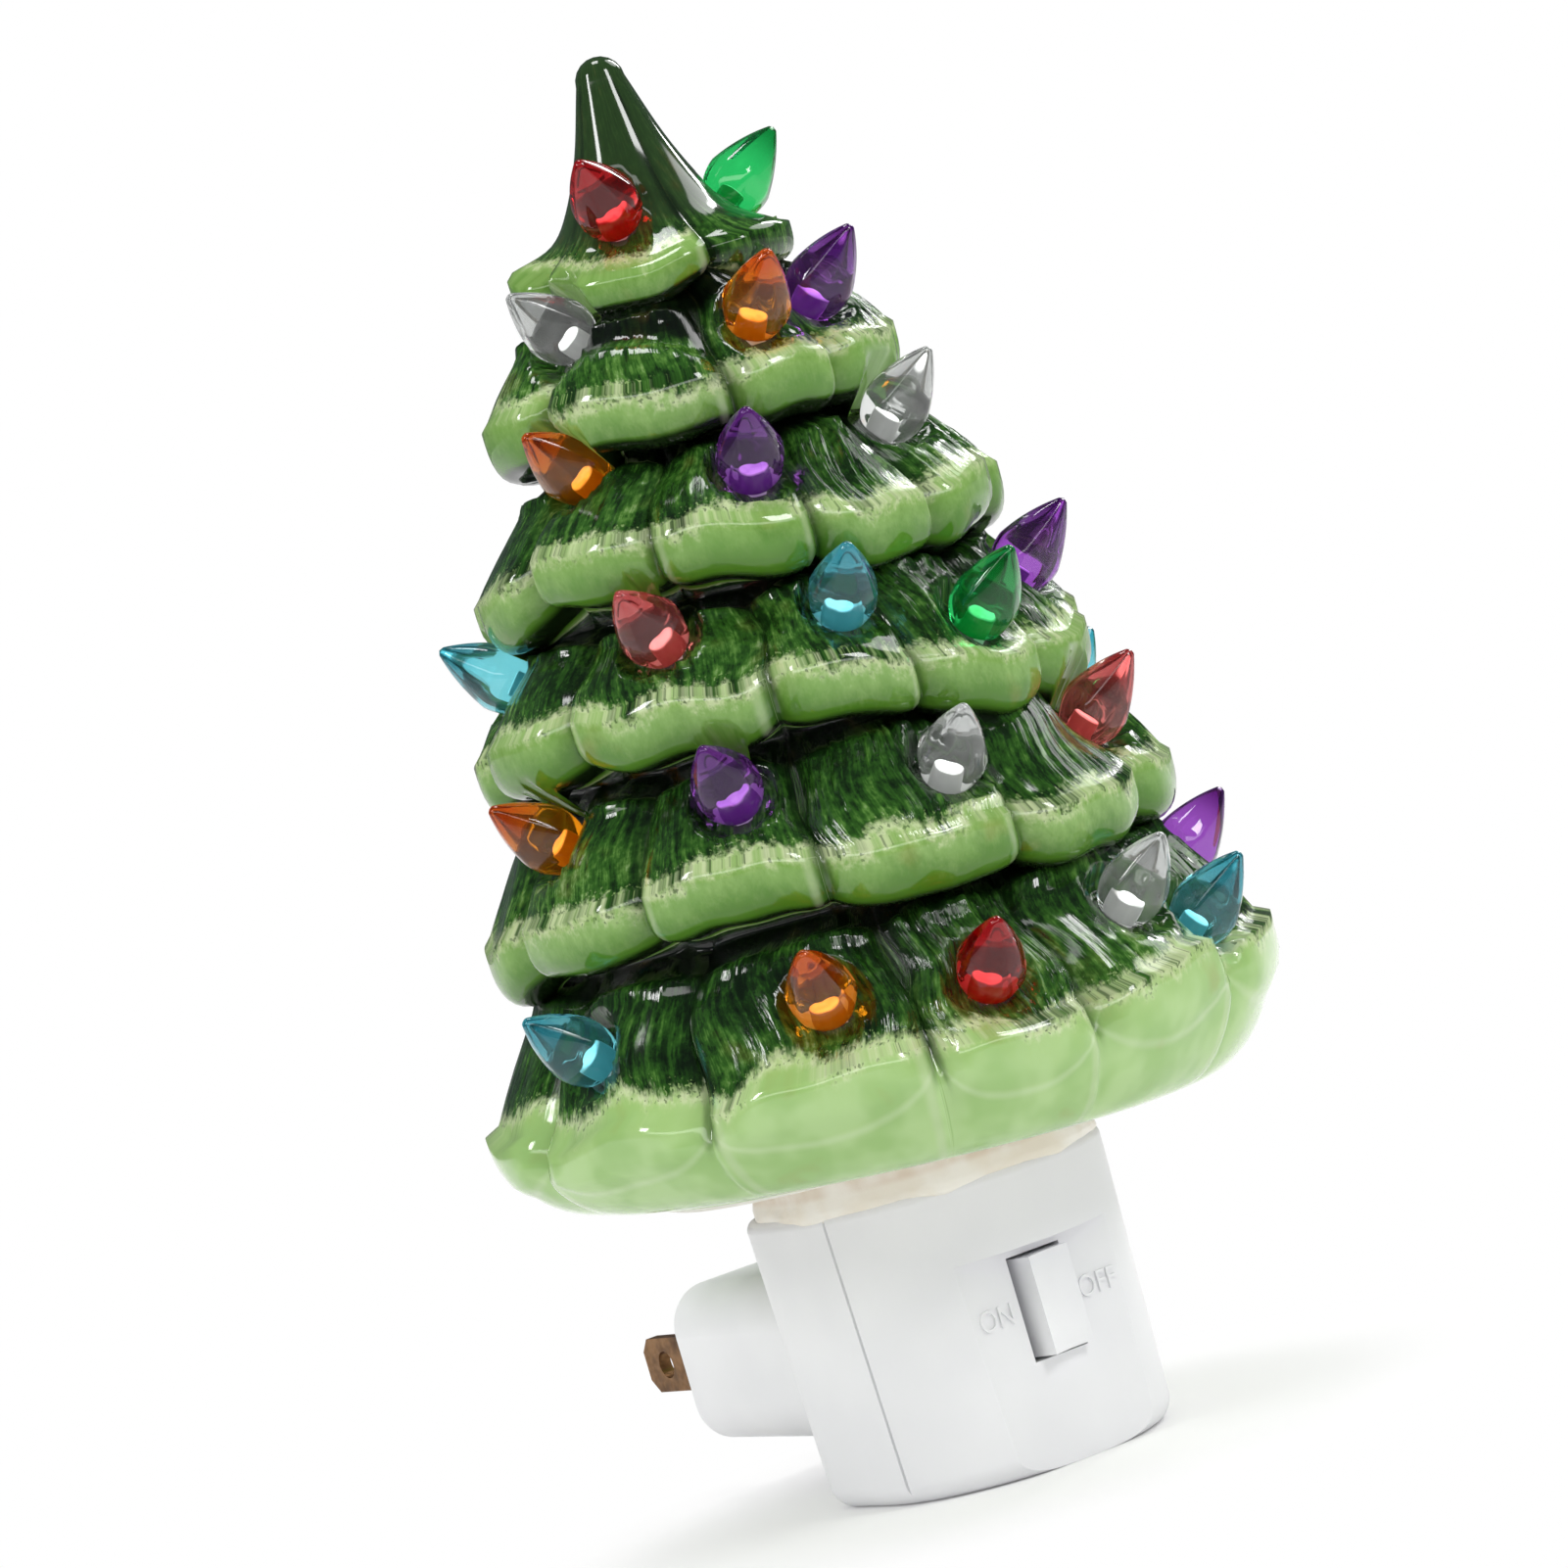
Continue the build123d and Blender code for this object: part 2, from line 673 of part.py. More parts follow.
def lamp_holder():
    body = rod(holder_radius, holder_bottom, holder_top)
    flange_top = base_height - base_wall
    body += rod(flange_radius, flange_top - flange_thickness, flange_top)
    body -= rod(socket_radius + socket_clearance, socket_floor, holder_top + overrun)
    body -= rod(rivet_radius + running_clearance, holder_bottom - overrun, socket_floor + overrun)
    leg_slot = tab_block(socket_clearance)
    return body - leg_slot


def socket_shell():
    top = socket_floor + socket_length
    sleeve = rod(socket_radius, socket_floor, top)
    sleeve -= rod(socket_radius - socket_wall, socket_floor + socket_ring, top + overrun)
    sleeve -= rod(socket_radius * socket_ring_share, socket_floor - overrun, top)
    return sleeve + tab_block(0)


def centre_contact():
    return rod(contact_disc_radius, socket_floor, lamp_foot) + rod(rivet_radius, holder_bottom, socket_floor)


def lamp_levels():
    """Heights of the lamp's pieces from its foot: insulator, cap, glass and crown."""
    insulator = lamp_foot + lamp_tip_height
    cap = insulator + lamp_insulator_height
    glass = cap + lamp_cap_length
    return insulator, cap, glass, lamp_foot + lamp_length


def lamp_tip():
    return rod(lamp_tip_radius, lamp_foot, lamp_levels()[0])


def lamp_insulator():
    low, high = lamp_levels()[:2]
    cone = Cone(lamp_tip_radius, lamp_cap_radius - lamp_thread_depth, high - low,
                align=(Align.CENTER, Align.CENTER, Align.MIN))
    return Pos(0, 0, low) * cone


def lamp_cap():
    """Cap with rounded rings at the thread's pitch."""
    _, low, high, _ = lamp_levels()
    root = lamp_cap_radius - lamp_thread_depth
    cap = rod(root, low, high)
    for turn in range(int(lamp_cap_length / lamp_thread_pitch)):
        level = low + lamp_thread_pitch * (turn + 0.5)
        cap += Pos(0, 0, level) * Torus(root, lamp_thread_depth)
    return cap


def glass_side(inset, low, high):
    """Half outline of the lamp's glass, from its neck to its crown."""
    length = high - low
    radius = lamp_radius - inset
    belly = low + length * lamp_belly_share
    upper = low + length * lamp_upper_share
    side = Spline((lamp_neck_radius - inset, low), (radius, belly), (radius * lamp_upper_width_share, upper),
                  (0, high), tangents=[(0, 1), (-1, 0)])
    return Plane.XZ * side


def glass_form(inset, low, high):
    side = glass_side(inset, low, high)
    neck = lamp_neck_radius - inset
    floor = Plane.XZ * Polyline((0, high), (0, low), (neck, low))
    return turned(side.edges() + floor.edges())


def lamp_glass():
    _, _, low, high = lamp_levels()
    wall = lamp_glass_wall
    return glass_form(0, low, high) - glass_form(wall, low + wall, high - wall)


def lamp_stem():
    """Glass stem with the two wires that carry the filament."""
    _, _, low, high = lamp_levels()
    foot = low + lamp_glass_wall
    stem_top = foot + (high - low) * (filament_share - lamp_crown_share) * stem_share
    stem = rod(stem_radius, foot, stem_top)
    level = low + (high - low) * filament_share
    for side in (-1, 1):
        x = side * stem_radius / 2
        wire = Pos(x, 0, 0) * rod(wire_radius, stem_top, level - filament_radius)
        stem += wire
    return stem


def filament():
    _, _, low, high = lamp_levels()
    level = low + (high - low) * filament_share
    bar = Cylinder(filament_radius, filament_width, align=(Align.CENTER, Align.CENTER, Align.CENTER))
    return Location((0, 0, level), (0, 90, 0)) * bar


def all_pieces():
    seats = {}
    for tier, bulbs in enumerate(tier_bulb_degrees_shares):
        for place, (degrees, share, colour) in enumerate(bulbs, start=1):
            seats[f"bulb_tier{tier + 1}_{place}_{colour}"] = bulb_seat(tier, degrees, share)
    front, rear = housings()
    pieces = {
        "tree_shell": tree_shell(list(seats.values())),
        "adhesive_bead": adhesive_bead(),
        "front_housing": front,
        "rear_housing": rear,
        "blade_left": blade(-1),
        "blade_right": blade(1),
        "neutral_strip": neutral_strip(),
        "live_strip": live_strip(),
        "switch_terminal": switch_terminal(),
        "tilting_contact": tilting_contact(),
        "switch_rocker": switch_rocker(),
        "switch_plunger": switch_plunger(),
        "switch_spring": switch_spring(),
        "lamp_holder": lamp_holder(),
        "socket_shell": socket_shell(),
        "centre_contact": centre_contact(),
        "lamp_tip": lamp_tip(),
        "lamp_insulator": lamp_insulator(),
        "lamp_cap": lamp_cap(),
        "lamp_glass": lamp_glass(),
        "lamp_stem": lamp_stem(),
        "filament": filament(),
    }
    one_bulb = bulb()
    for name, seat in seats.items():
        pieces[name] = seat.location * one_bulb
    return pieces


def write_parts():
    """Write every piece with the middle of the plug's end face as origin."""
    os.makedirs("parts", exist_ok=True)
    to_wall = Pos(0, -plug_reach, -plug_height)
    for name, piece in all_pieces().items():
        export_step(to_wall * piece, f"parts/{name}.step")


write_parts()
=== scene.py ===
import math
from collections import namedtuple

import bmesh
import bpy
from mathutils import Matrix, Vector, noise


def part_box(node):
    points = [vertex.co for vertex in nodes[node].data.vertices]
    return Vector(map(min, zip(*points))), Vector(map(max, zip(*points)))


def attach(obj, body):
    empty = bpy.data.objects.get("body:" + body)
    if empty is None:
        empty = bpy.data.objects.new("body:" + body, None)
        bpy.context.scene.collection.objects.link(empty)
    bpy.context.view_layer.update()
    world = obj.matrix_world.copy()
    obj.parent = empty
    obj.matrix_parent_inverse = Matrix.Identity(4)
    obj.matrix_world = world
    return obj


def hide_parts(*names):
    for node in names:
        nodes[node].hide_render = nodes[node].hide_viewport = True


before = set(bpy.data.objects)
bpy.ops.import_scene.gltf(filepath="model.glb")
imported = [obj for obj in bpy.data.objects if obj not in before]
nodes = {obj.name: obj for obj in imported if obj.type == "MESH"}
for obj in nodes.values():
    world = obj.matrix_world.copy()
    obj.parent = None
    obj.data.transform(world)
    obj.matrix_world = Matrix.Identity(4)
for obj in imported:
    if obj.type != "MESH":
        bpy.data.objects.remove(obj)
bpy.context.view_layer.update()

# Night light: a glazed ceramic tree with peg bulbs on a switched plug base.
# Lengths are metres. Bearings round the tree count from the front (-Y), positive towards +X.
mm = 0.001

# Places read from the frame
tree_low, tree_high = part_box("tree_shell")
holder_low, holder_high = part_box("lamp_holder")
base_low, base_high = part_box("rear_housing")
rocker_low, rocker_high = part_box("switch_rocker")
axis_x = (holder_low.x + holder_high.x) / 2
axis_y = (holder_low.y + holder_high.y) / 2
tree_foot = Vector((axis_x, axis_y, tree_low.z))
tree_height = tree_high.z - tree_low.z
floor_level = base_low.z

# Tree
tree_radius = 43.0 * mm
tree_wall = 5.0 * mm
tree_floor = 4.5 * mm
lamp_hole = 11.5 * mm
tip_radius = 2.7 * mm
band_height = 6.4 * mm
band_tuck = 5.2 * mm
foot_tuck = 11.0 * mm
neck_step = 2.2 * mm
neck_rise = 2.0 * mm
edge_round = 0.8 * mm
valley_depth = 2.8 * mm
tier_reach_shares = (0.363, 0.540, 0.680, 0.786, 0.890, 1.000)
tier_level_shares = (0.818, 0.697, 0.555, 0.422, 0.270, 0.104)
top_band_share = 0.62
top_tuck_share = 0.65
flare_reach_shares = (0.33, 0.50, 0.66)
flare_rise_shares = (0.55, 0.29, 0.14)
flare_branch_shares = (0.1, 0.3, 0.5)
slope_valley_share = 0.35
edge_valley_share = 0.9
foot_valley_share = 0.8
skirt_valley_share = 0.35
# Valleys between the branches of each tier, and how far each branch rises above its tier's level
tier_valley_degrees = (
    (-86, -5, 67, 139, 211),
    (-75, -20, 13, 55, 100, 145, 190, 237),
    (-81, -48, -13, 17, 49, 82, 115, 148, 181, 213, 245),
    (-107, -74, -32, -4, 27, 60, 92, 125, 157, 190, 221),
    (-95, -63, -32, 2, 34, 67, 100, 133, 166, 199, 232),
    (-92, -58, -24, 0, 29, 62, 95, 128, 161, 194, 232),
)
tier_branch_shares = (
    (-0.25, -0.1, 0.1, 0.05, 0.2),
    (0.0, -0.1, -0.1, 0.05, -0.1, 0.1, 0.0, 0.2),
    (0.65, 0.25, -0.15, -0.05, 0.05, -0.1, 0.1, 0.0, -0.1, 0.05, 0.25),
    (0.4, 0.3, 0.15, -0.45, -0.45, 0.05, -0.1, 0.1, 0.0, -0.1, 0.05),
    (0.25, 0.4, -0.05, -0.15, 0.0, 0.1, -0.1, 0.05, -0.05, 0.1, 0.0),
    (-0.1, 0.0, -0.25, 0.0, 0.05, 0.0, 0.1, -0.1, 0.05, 0.0, -0.05),
)
tier_count = len(tier_valley_degrees)
lowest_tier = tier_count - 1
tree_segments = 480
slope_steps = 18
slope_crowding_share = 0.09
slope_crowding_start = 0.1
flare_steps = 5
band_steps = 9
skirt_steps = 15
dome_steps = 5
# Hand-made unevenness of the branches
face_flatness = 3.8
band_squareness = 3.2
skirt_roundness = 2.0
branch_overlap = 1.1 * mm
overlap_least = 0.6
overlap_spread = 0.8
overlap_range = (0.55, 1.0)
overlap_bearing = math.radians(-45)
edge_wave = 1.3 * mm
edge_waves = 5.5
top_growth_power = 4
top_lobe_range = (0.7, 1.0)
valley_wander = math.radians(7)
curl_waves = 1.6
curl_turns = 3
slope_bulge = 1.2 * mm
slope_bulge_power = 0.7
corner_lift = 1.6 * mm
foot_sway = 2.0 * mm
foot_sway_power = 1.5
foot_sway_bearing = math.radians(60)
# Faint petals of the skirt, and how far its valleys are filled
petal_rise = 0.9 * mm
petal_share = 0.55
petal_roundness = 2.5
petal_edge_range = (-0.1, 0.02)
petal_side_range = (0.0, 0.3)
skirt_fill_share = 0.8
skirt_fill_range = (0.0, 0.4)
# Moulded needles of the slopes: widths and lengths in millimetres, deeper on the right-hand side
needle_depth = 0.9 * mm
needle_width = 1.5
needle_length = 14.0
needle_crest = 0.5
needle_sharpness = 2.2
needle_start_range = (0.08, 0.3)
needle_end_range = (0.84, 1.0)
needle_least_share = 0.15
needle_vigour_range = (-0.1, 0.45)
needle_chance_weight = 0.6
needle_side_weight = 0.4
needle_side_turn = math.radians(15)
top_needle_share = 0.15
top_needle_range = (0.6, 0.95)
# Rounded shoulder at the top of each slope, below a recess that lies in the shadow of the band above
shoulder_rise = 0.75 * mm
shoulder_shares = (0.0, 0.46, 0.40, 0.30, 0.30, 0.26)
shoulder_width_share = 0.05
shoulder_waves = 9
shoulder_range = (-0.4, 0.3)
neck_hollow = 0.6 * mm
# Shares of a slope over which the painted shade towards its neck fades out
neck_shade_range = (0.2, 0.9)
# The recess is painted near black as shade, over dark glaze pooled there: where it ends above the shoulder,
# how softly it fades, and how much lower it reaches in the valleys
recess_gap = 0.03
recess_fade = 0.1
recess_arch = 0.1
# Petals that stand proud of their slope, by tier and branch, and where on it they and the painted shade of
# their recess begin
raised_petals = {(1, 0): 1.5 * mm}
petal_top_share = 0.66
petal_top_arch = 0.3
petal_top_range = (-0.06, 0.05)
petal_recess_gap = 0.02
petal_recess_fade = 0.04
# Height of the pale paint's upper edge above a tier's edge, in millimetres: on most branches, on the skirt,
# on the top tier, and on branches painted in their own way, by tier and branch
fringe_height = 0.9
fringe_spread = 1.6
skirt_fringe = 2.6
top_fringe = 2.2
own_fringes = {(0, 1): -3.4, (1, 0): -0.4, (5, 1): 1.2, (5, 2): 0.2, (5, 3): -0.4, (5, 4): 0.2}
# Share of a band's height at which the painted shade of its underside begins, over dark glaze there: on the
# top two tiers, and on the others. A branch whose pale paint begins below the level given last has no
# painted underside shade.
under_shares = (0.62, 0.72, 0.84)
plain_under_fringe = -1.0
# Seeds of the branches' chance values, by tier and by branch, some with an offset
overlap_seed = (3.7, 2.9, 0.4)
fringe_seed = (2.3, 4.1, 1.7)
vigour_seed = (9.5, 4.0, 0.65)
needle_seed = (7.3, 3.1, 0.5)
curl_seed = (5.1, 1.9)
paint_seed = (13.7, 5.3)
shoulder_seed = 1.3
edge_wave_seed = 2.7

# Paint of the tree, as screen colours of 0 to 255
needle_greens = ((0.37, (9, 25, 8)), (0.44, (22, 51, 15)), (0.51, (44, 85, 27)), (0.57, (80, 122, 52)),
                 (0.65, (150, 176, 118)))
tip_green = (37, 57, 30)
# Painted shade in the valleys between the branches of a slope
crease_shade_green = (12, 24, 12)
# Near-black painted shade in the recess under each band, over dark glaze pooled there
recess_painted_shade = (6, 10, 6)
slope_brown = (84, 62, 28)
band_greens = ((80, 126, 36), (92, 140, 50))
band_patch = (74, 122, 30)
skirt_greens = ((172, 204, 138), (152, 189, 116))
upper_green = (156, 190, 112)
band_ochre = (140, 128, 56)
fringe_cream = (210, 219, 176)
# Painted highlight along the lower edges of the skirt's petals
petal_rim_highlight = (222, 232, 200)
# Painted shade in the valleys of the bands, fading out on the skirt's petals
cleft_shade_green = (40, 70, 30)
# Near-black painted shade on the bands' undersides, over dark glaze there
underside_shade_black = (12, 20, 11)
fleck_green = (150, 178, 112)
speck_green = (34, 60, 28)
# Painted highlight along the corner where one branch overlaps the next
lap_highlight_pale = (196, 208, 172)
clay_whites = ((226, 222, 208), (240, 238, 230))
# Tiers between which the paint changes from that of the bands to that of the skirt
skirt_tiers = (4.3, 4.8)

# Bulbs
bulb_radius = 3.7 * mm
bulb_height = 10.6 * mm
bulb_tip_radius = 0.5 * mm
bulb_lift = math.radians(40)
bulb_segments = 48
bulb_facets = 8
bulb_facet_share = 0.55
facet_start_range = (0.0, 0.12)
facet_end_range = (0.85, 1.0)
bulb_foot_share = 0.76
bulb_belly_share = 0.36
lower_bow_shares = (0.945, 0.45)
lower_bow_steps = 7
upper_bow_shares = (0.62, 0.70)
upper_bow_steps = 14
# Painted glow of the pegs: its strength, how dark the bore's wall is, and its share on the rest of the peg
# and the foot
painted_peg_glow = 1.0
peg_shade = 0.2
foot_gather = 0.25
peg_radius = 1.75 * mm
peg_length = 8.0 * mm
bore_radius = 1.0 * mm
bore_reach = 2.3 * mm
bore_round = 0.15 * mm
# How many points of a bulb's outline belong to the bore's end, to the bore and to the whole peg
bore_end_points = 2
bore_points = 4
peg_points = 7
foot_chamfer = 0.25 * mm
seat_radius = 4.1 * mm
seat_fade = 0.9 * mm
seat_sink = 0.1 * mm
hole_depth = 2.2 * mm
hole_edge_shares = (0.85, 1.2)

# Adhesive bead
bead_half_width = 18.0 * mm
bead_half_depth = 16.4 * mm
bead_centre = 2.0 * mm
bead_squareness = 2.9
bead_segments = 240
# Waves and ripples of the bead: how far they reach, in millimetres, how close they lie, and their seeds
bead_wave = 0.3
bead_waves = 3.2
bead_wave_seed = 0.7
bead_ripple = 0.16
bead_ripples = 8.5
bead_ripple_seed = 0.6
lip_wave = 1.1
# Section of the bead from its top inside to its foot inside: millimetres beyond its outline, share of its
# thickness, and how stained it is
bead_loops = ((-4.0, 1.0, 0.0), (-0.6, 1.0, 0.0), (0.0, 0.97, 0.2), (0.2, 0.8, 0.8), (0.05, 0.55, 1.0),
              (0.25, 0.3, 0.3), (0.35, 0.08, 0.1), (0.4, -0.1, 0.3), (0.2, -0.18, 0.2), (-0.4, -0.14, 0.0),
              (-4.0, -0.05, 0.0))

# Switch lettering
letter_raise = 0.32 * mm
letter_height = 2.3 * mm
letter_narrowness = 0.85
letter_offset = 6.5 * mm
panel_plane = -61.4 * mm

# Camera
camera_azimuth = math.radians(-30.0)
camera_elevation = math.radians(2.0)
camera_roll = math.radians(16.45)
camera_distance = 0.7
camera_lens = 150.0
camera_sensor = 36.0
camera_near = 0.01
aim_aside = -2.42 * mm
aim_height = 76.5 * mm

# Stage: soft boxes by place from the middle of the tree, width, height and power, and the floor's shade
soft_boxes = {
    "left_box": ((-0.71, 0.02, 0.52), 0.12, 0.26, 2.0),
    "front_box": ((0.20, -0.68, 0.55), 0.18, 0.26, 2.4),
    "right_box": ((0.70, 0.26, 0.49), 0.10, 0.36, 2.2),
    "top_box": ((0.06, 0.10, 0.80), 0.22, 0.22, 1.6),
}
floor_half_width = 3.0
shade_reach = (18.0 * mm, 60.0 * mm)
shade_glow = 0.15
even_light = (0.70, 0.70, 0.70, 1)
# Room that the glaze reflects, with a row of low windows in front and one window aside
room_below = (0.55, 0.55, 0.55, 1)
room_above = (0.08, 0.09, 0.10, 1)
room_horizon = (-0.25, 0.12)
window_glow = (4.0, 4.0, 4.0, 1)
row_foot = (0.32, 0.36)
row_top = (0.46, 0.50)
row_side = (0.40, 0.55)
side_window = (0.76, 0.06, 0.65)
side_window_edge = (0.965, 0.975)

# A ring of points round the tree: its tier, the reach of its crests, the depth of its valleys, its level,
# its share of the branches' rise, its part of the tree, its share of the way down that part, and its way to
# the tier's edge
Ring = namedtuple("Ring", "tier reach depth level lift part share along")
# A branch at one bearing: its number, the bearing from its middle, half its width, its rise at its start,
# middle and end, its steps at the valleys before and after it, and where its pale paint begins
Branch = namedtuple("Branch", "number away half start_rise rise end_rise start_step end_step fringe")


# Shapes shared by several pieces

def smooth(low, high, value):
    """0 below low, 1 above high, eased between."""
    share = min(1.0, max(0.0, (value - low) / (high - low)))
    return share * share * (3 - 2 * share)


def arc_through(start, middle, end, steps):
    """Points on the circle through three points, from start to end."""
    (ax, ay), (bx, by), (cx, cy) = start, middle, end
    a, b, c = (x * x + y * y for x, y in (start, middle, end))
    divisor = 2 * (ax * (by - cy) + bx * (cy - ay) + cx * (ay - by))
    ux = (a * (by - cy) + b * (cy - ay) + c * (ay - by)) / divisor
    uy = (a * (cx - bx) + b * (ax - cx) + c * (bx - ax)) / divisor
    radius = math.hypot(ax - ux, ay - uy)
    first = math.atan2(ay - uy, ax - ux)
    turn = (math.atan2(cy - uy, cx - ux) - first + math.pi) % (2 * math.pi) - math.pi
    angles = [first + turn * step / steps for step in range(steps + 1)]
    return [(ux + radius * math.cos(angle), uy + radius * math.sin(angle)) for angle in angles]


def around(radius, bearing, level):
    """Point at a bearing from the front and a distance from the upright axis."""
    return Vector((radius * math.sin(bearing), -radius * math.cos(bearing), level))


def round_noise(bearing, waves, seed):
    """Noise that closes on itself round the axis."""
    return noise.noise((math.sin(bearing) * waves, math.cos(bearing) * waves, seed))


def spun(outline, segments):
    """Closed surface turned round the Z axis; each vertex keeps the number of its outline point."""
    bm = bmesh.new()
    layer = bm.verts.layers.int.new("outline_point")
    verts = []
    for number, (radius, level) in enumerate(outline):
        vert = bm.verts.new((radius, 0, level))
        vert[layer] = number
        verts.append(vert)
    edges = [bm.edges.new(pair) for pair in zip(verts, verts[1:])]
    bmesh.ops.spin(bm, geom=verts + edges, cent=(0, 0, 0), axis=(0, 0, 1), angle=2 * math.pi,
                   steps=segments, use_merge=True, use_duplicate=False)
    for number in (0, len(outline) - 1):
        if outline[number][0] == 0:
            pole = [vert for vert in bm.verts if vert[layer] == number]
            bmesh.ops.pointmerge(bm, verts=pole, merge_co=(0, 0, outline[number][1]))
    bmesh.ops.recalc_face_normals(bm, faces=bm.faces)
    return bm, layer


def piece_from(bm, name, material, body="light", stands_for=()):
    """Object at the origin from a finished bmesh, riding on a body."""
    mesh = bpy.data.meshes.new(name)
    bm.to_mesh(mesh)
    bm.free()
    mesh.shade_smooth()
    mesh.materials.append(material)
    piece = bpy.data.objects.new(name, mesh)
    bpy.context.scene.collection.objects.link(piece)
    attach(piece, body)
    if stands_for:
        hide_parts(*stands_for)
    return piece


# Material helpers

def linear(red, green, blue):
    """Shader colour from screen values of 0 to 255."""
    def channel(value):
        value /= 255
        return value / 12.92 if value <= 0.04045 else ((value + 0.055) / 1.055) ** 2.4
    return (channel(red), channel(green), channel(blue), 1.0)


def new_material(name):
    """Material with its node tree and its shader."""
    material = bpy.data.materials.new(name)
    material.use_nodes = True
    return material, material.node_tree, material.node_tree.nodes["Principled BSDF"]


def add_node(tree, kind, settings=(), **inputs):
    """Shader node with its settings, and inputs given by name or number as values or as sockets to link."""
    node = tree.nodes.new(kind)
    for key, value in dict(settings).items():
        setattr(node, key, value)
    for key, value in inputs.items():
        numbered = key.startswith("in") and key[2:].isdigit()
        socket = node.inputs[int(key[2:])] if numbered else node.inputs[key]
        if isinstance(value, bpy.types.NodeSocket):
            tree.links.new(value, socket)
        else:
            socket.default_value = value
    return node


def maths(tree, operation, first, second=0.0, clamp=False):
    """Two values worked into one."""
    settings = {"operation": operation, "use_clamp": clamp}
    return add_node(tree, "ShaderNodeMath", settings, in0=first, in1=second).outputs[0]


def times(tree, first, second):
    return maths(tree, "MULTIPLY", first, second)


def attribute(tree, name):
    return add_node(tree, "ShaderNodeAttribute", {"attribute_name": name}).outputs["Fac"]


def spread(tree, value, low, high, to_low=0.0, to_high=1.0):
    """Value mapped smoothly from one range to another."""
    node = add_node(tree, "ShaderNodeMapRange", {"interpolation_type": "SMOOTHSTEP"}, in0=value, in1=low,
                    in2=high, in3=to_low, in4=to_high)
    return node.outputs[0]


def mixed(tree, share, first, second):
    """Colour between two colours; one of three values is a screen colour."""
    first, second = (linear(*colour) if isinstance(colour, tuple) and len(colour) == 3 else colour
                     for colour in (first, second))
    node = add_node(tree, "ShaderNodeMix", {"data_type": "RGBA"}, in0=share, in6=first, in7=second)
    return node.outputs[2]


def vector_of(tree, x, y, z):
    return add_node(tree, "ShaderNodeCombineXYZ", X=x, Y=y, Z=z).outputs[0]


def noise_of(tree, vector, scale, detail=2.0, roughness=0.5):
    node = add_node(tree, "ShaderNodeTexNoise", Vector=vector, Scale=scale, Detail=detail,
                    Roughness=roughness)
    return node.outputs["Fac"]


def object_place(tree):
    return add_node(tree, "ShaderNodeTexCoord").outputs["Object"]


def bumped(tree, height, strength, distance):
    node = add_node(tree, "ShaderNodeBump", Height=height, Strength=strength, Distance=distance)
    return node.outputs["Normal"]


def grain_group():
    """Fine surface grain and slow mottling, shared by the pegs, plastics, metals, glue and lamp glass."""
    group = bpy.data.node_groups.new("surface_grain", "ShaderNodeTree")
    group.interface.new_socket("Grain Size", in_out="INPUT", socket_type="NodeSocketFloat")
    group.interface.new_socket("Mottle Size", in_out="INPUT", socket_type="NodeSocketFloat")
    group.interface.new_socket("Grain", in_out="OUTPUT", socket_type="NodeSocketFloat")
    group.interface.new_socket("Mottle", in_out="OUTPUT", socket_type="NodeSocketFloat")
    start = group.nodes.new("NodeGroupInput")
    end = group.nodes.new("NodeGroupOutput")
    place = object_place(group)
    grain = noise_of(group, place, start.outputs["Grain Size"], 3.0, 0.6)
    mottle = noise_of(group, place, start.outputs["Mottle Size"], 2.0, 0.5)
    group.links.new(grain, end.inputs["Grain"])
    group.links.new(mottle, end.inputs["Mottle"])
    return group


surface_grain = grain_group()


def grain_of(tree, grain_size, mottle_size):
    """Grain and mottle of the shared group, at a material's own sizes."""
    node = add_node(tree, "ShaderNodeGroup", {"node_tree": surface_grain})
    node.inputs["Grain Size"].default_value = grain_size
    node.inputs["Mottle Size"].default_value = mottle_size
    return node.outputs["Grain"], node.outputs["Mottle"]


# Materials

def ramp_of(tree, value, stops):
    """Colour ramp from positions and screen colours."""
    node = add_node(tree, "ShaderNodeValToRGB", Fac=value)
    elements = node.color_ramp.elements
    while len(elements) < len(stops):
        elements.new(0.5)
    for element, (position, colour) in zip(elements, stops):
        element.position = position
        element.color = linear(*colour)
    return node.outputs[0]


def brush_noise(tree, guides, across_scale, along_scale, detail=2.0, roughness=0.6):
    """Noise drawn out along the branch, different on every branch."""
    across = times(tree, guides["across"], across_scale)
    along = times(tree, guides["along"], along_scale)
    return noise_of(tree, vector_of(tree, across, along, guides["branch"]), 1.0, detail, roughness)


def weighed(tree, *pairs):
    """Sum of values times their weights."""
    total = 0.0
    for value, weight in pairs:
        total = maths(tree, "ADD", total, times(tree, value, weight))
    return total


def less(tree, value):
    """What a value lacks of 1."""
    return maths(tree, "SUBTRACT", 1.0, value, True)


def slope_paint(tree, guides, needle, patches):
    """Dark mottled needles, smoother on the tip, with painted shade: darker towards the neck and in the
    valleys, and near black in the recess above the neck, over dark glaze pooled there.
    """
    # Painted shade: the needles darken towards the neck
    needle = weighed(tree, (needle, 1.0), (guides["neck"], -0.05))
    dark = ramp_of(tree, needle, needle_greens)
    tip = times(tree, less(tree, spread(tree, guides["tier"], 0.2, 0.8)),
                spread(tree, guides["along"], 2.5, 7.0, 0.0, 0.9))
    dark = mixed(tree, tip, dark, tip_green)
    # Painted shade in the valleys between branches
    crease_shade = times(tree, spread(tree, guides["cleft"], 0.78, 1.0),
                   spread(tree, patches, 0.35, 0.6, 0.9, 0.4))
    dark = mixed(tree, crease_shade, dark, crease_shade_green)
    # Painted shade: near black in the recess under the band above
    dark = mixed(tree, times(tree, guides["recess"], 0.93), dark, recess_painted_shade)
    return mixed(tree, spread(tree, patches, 0.60, 0.74, 0.0, 0.3), dark, slope_brown)


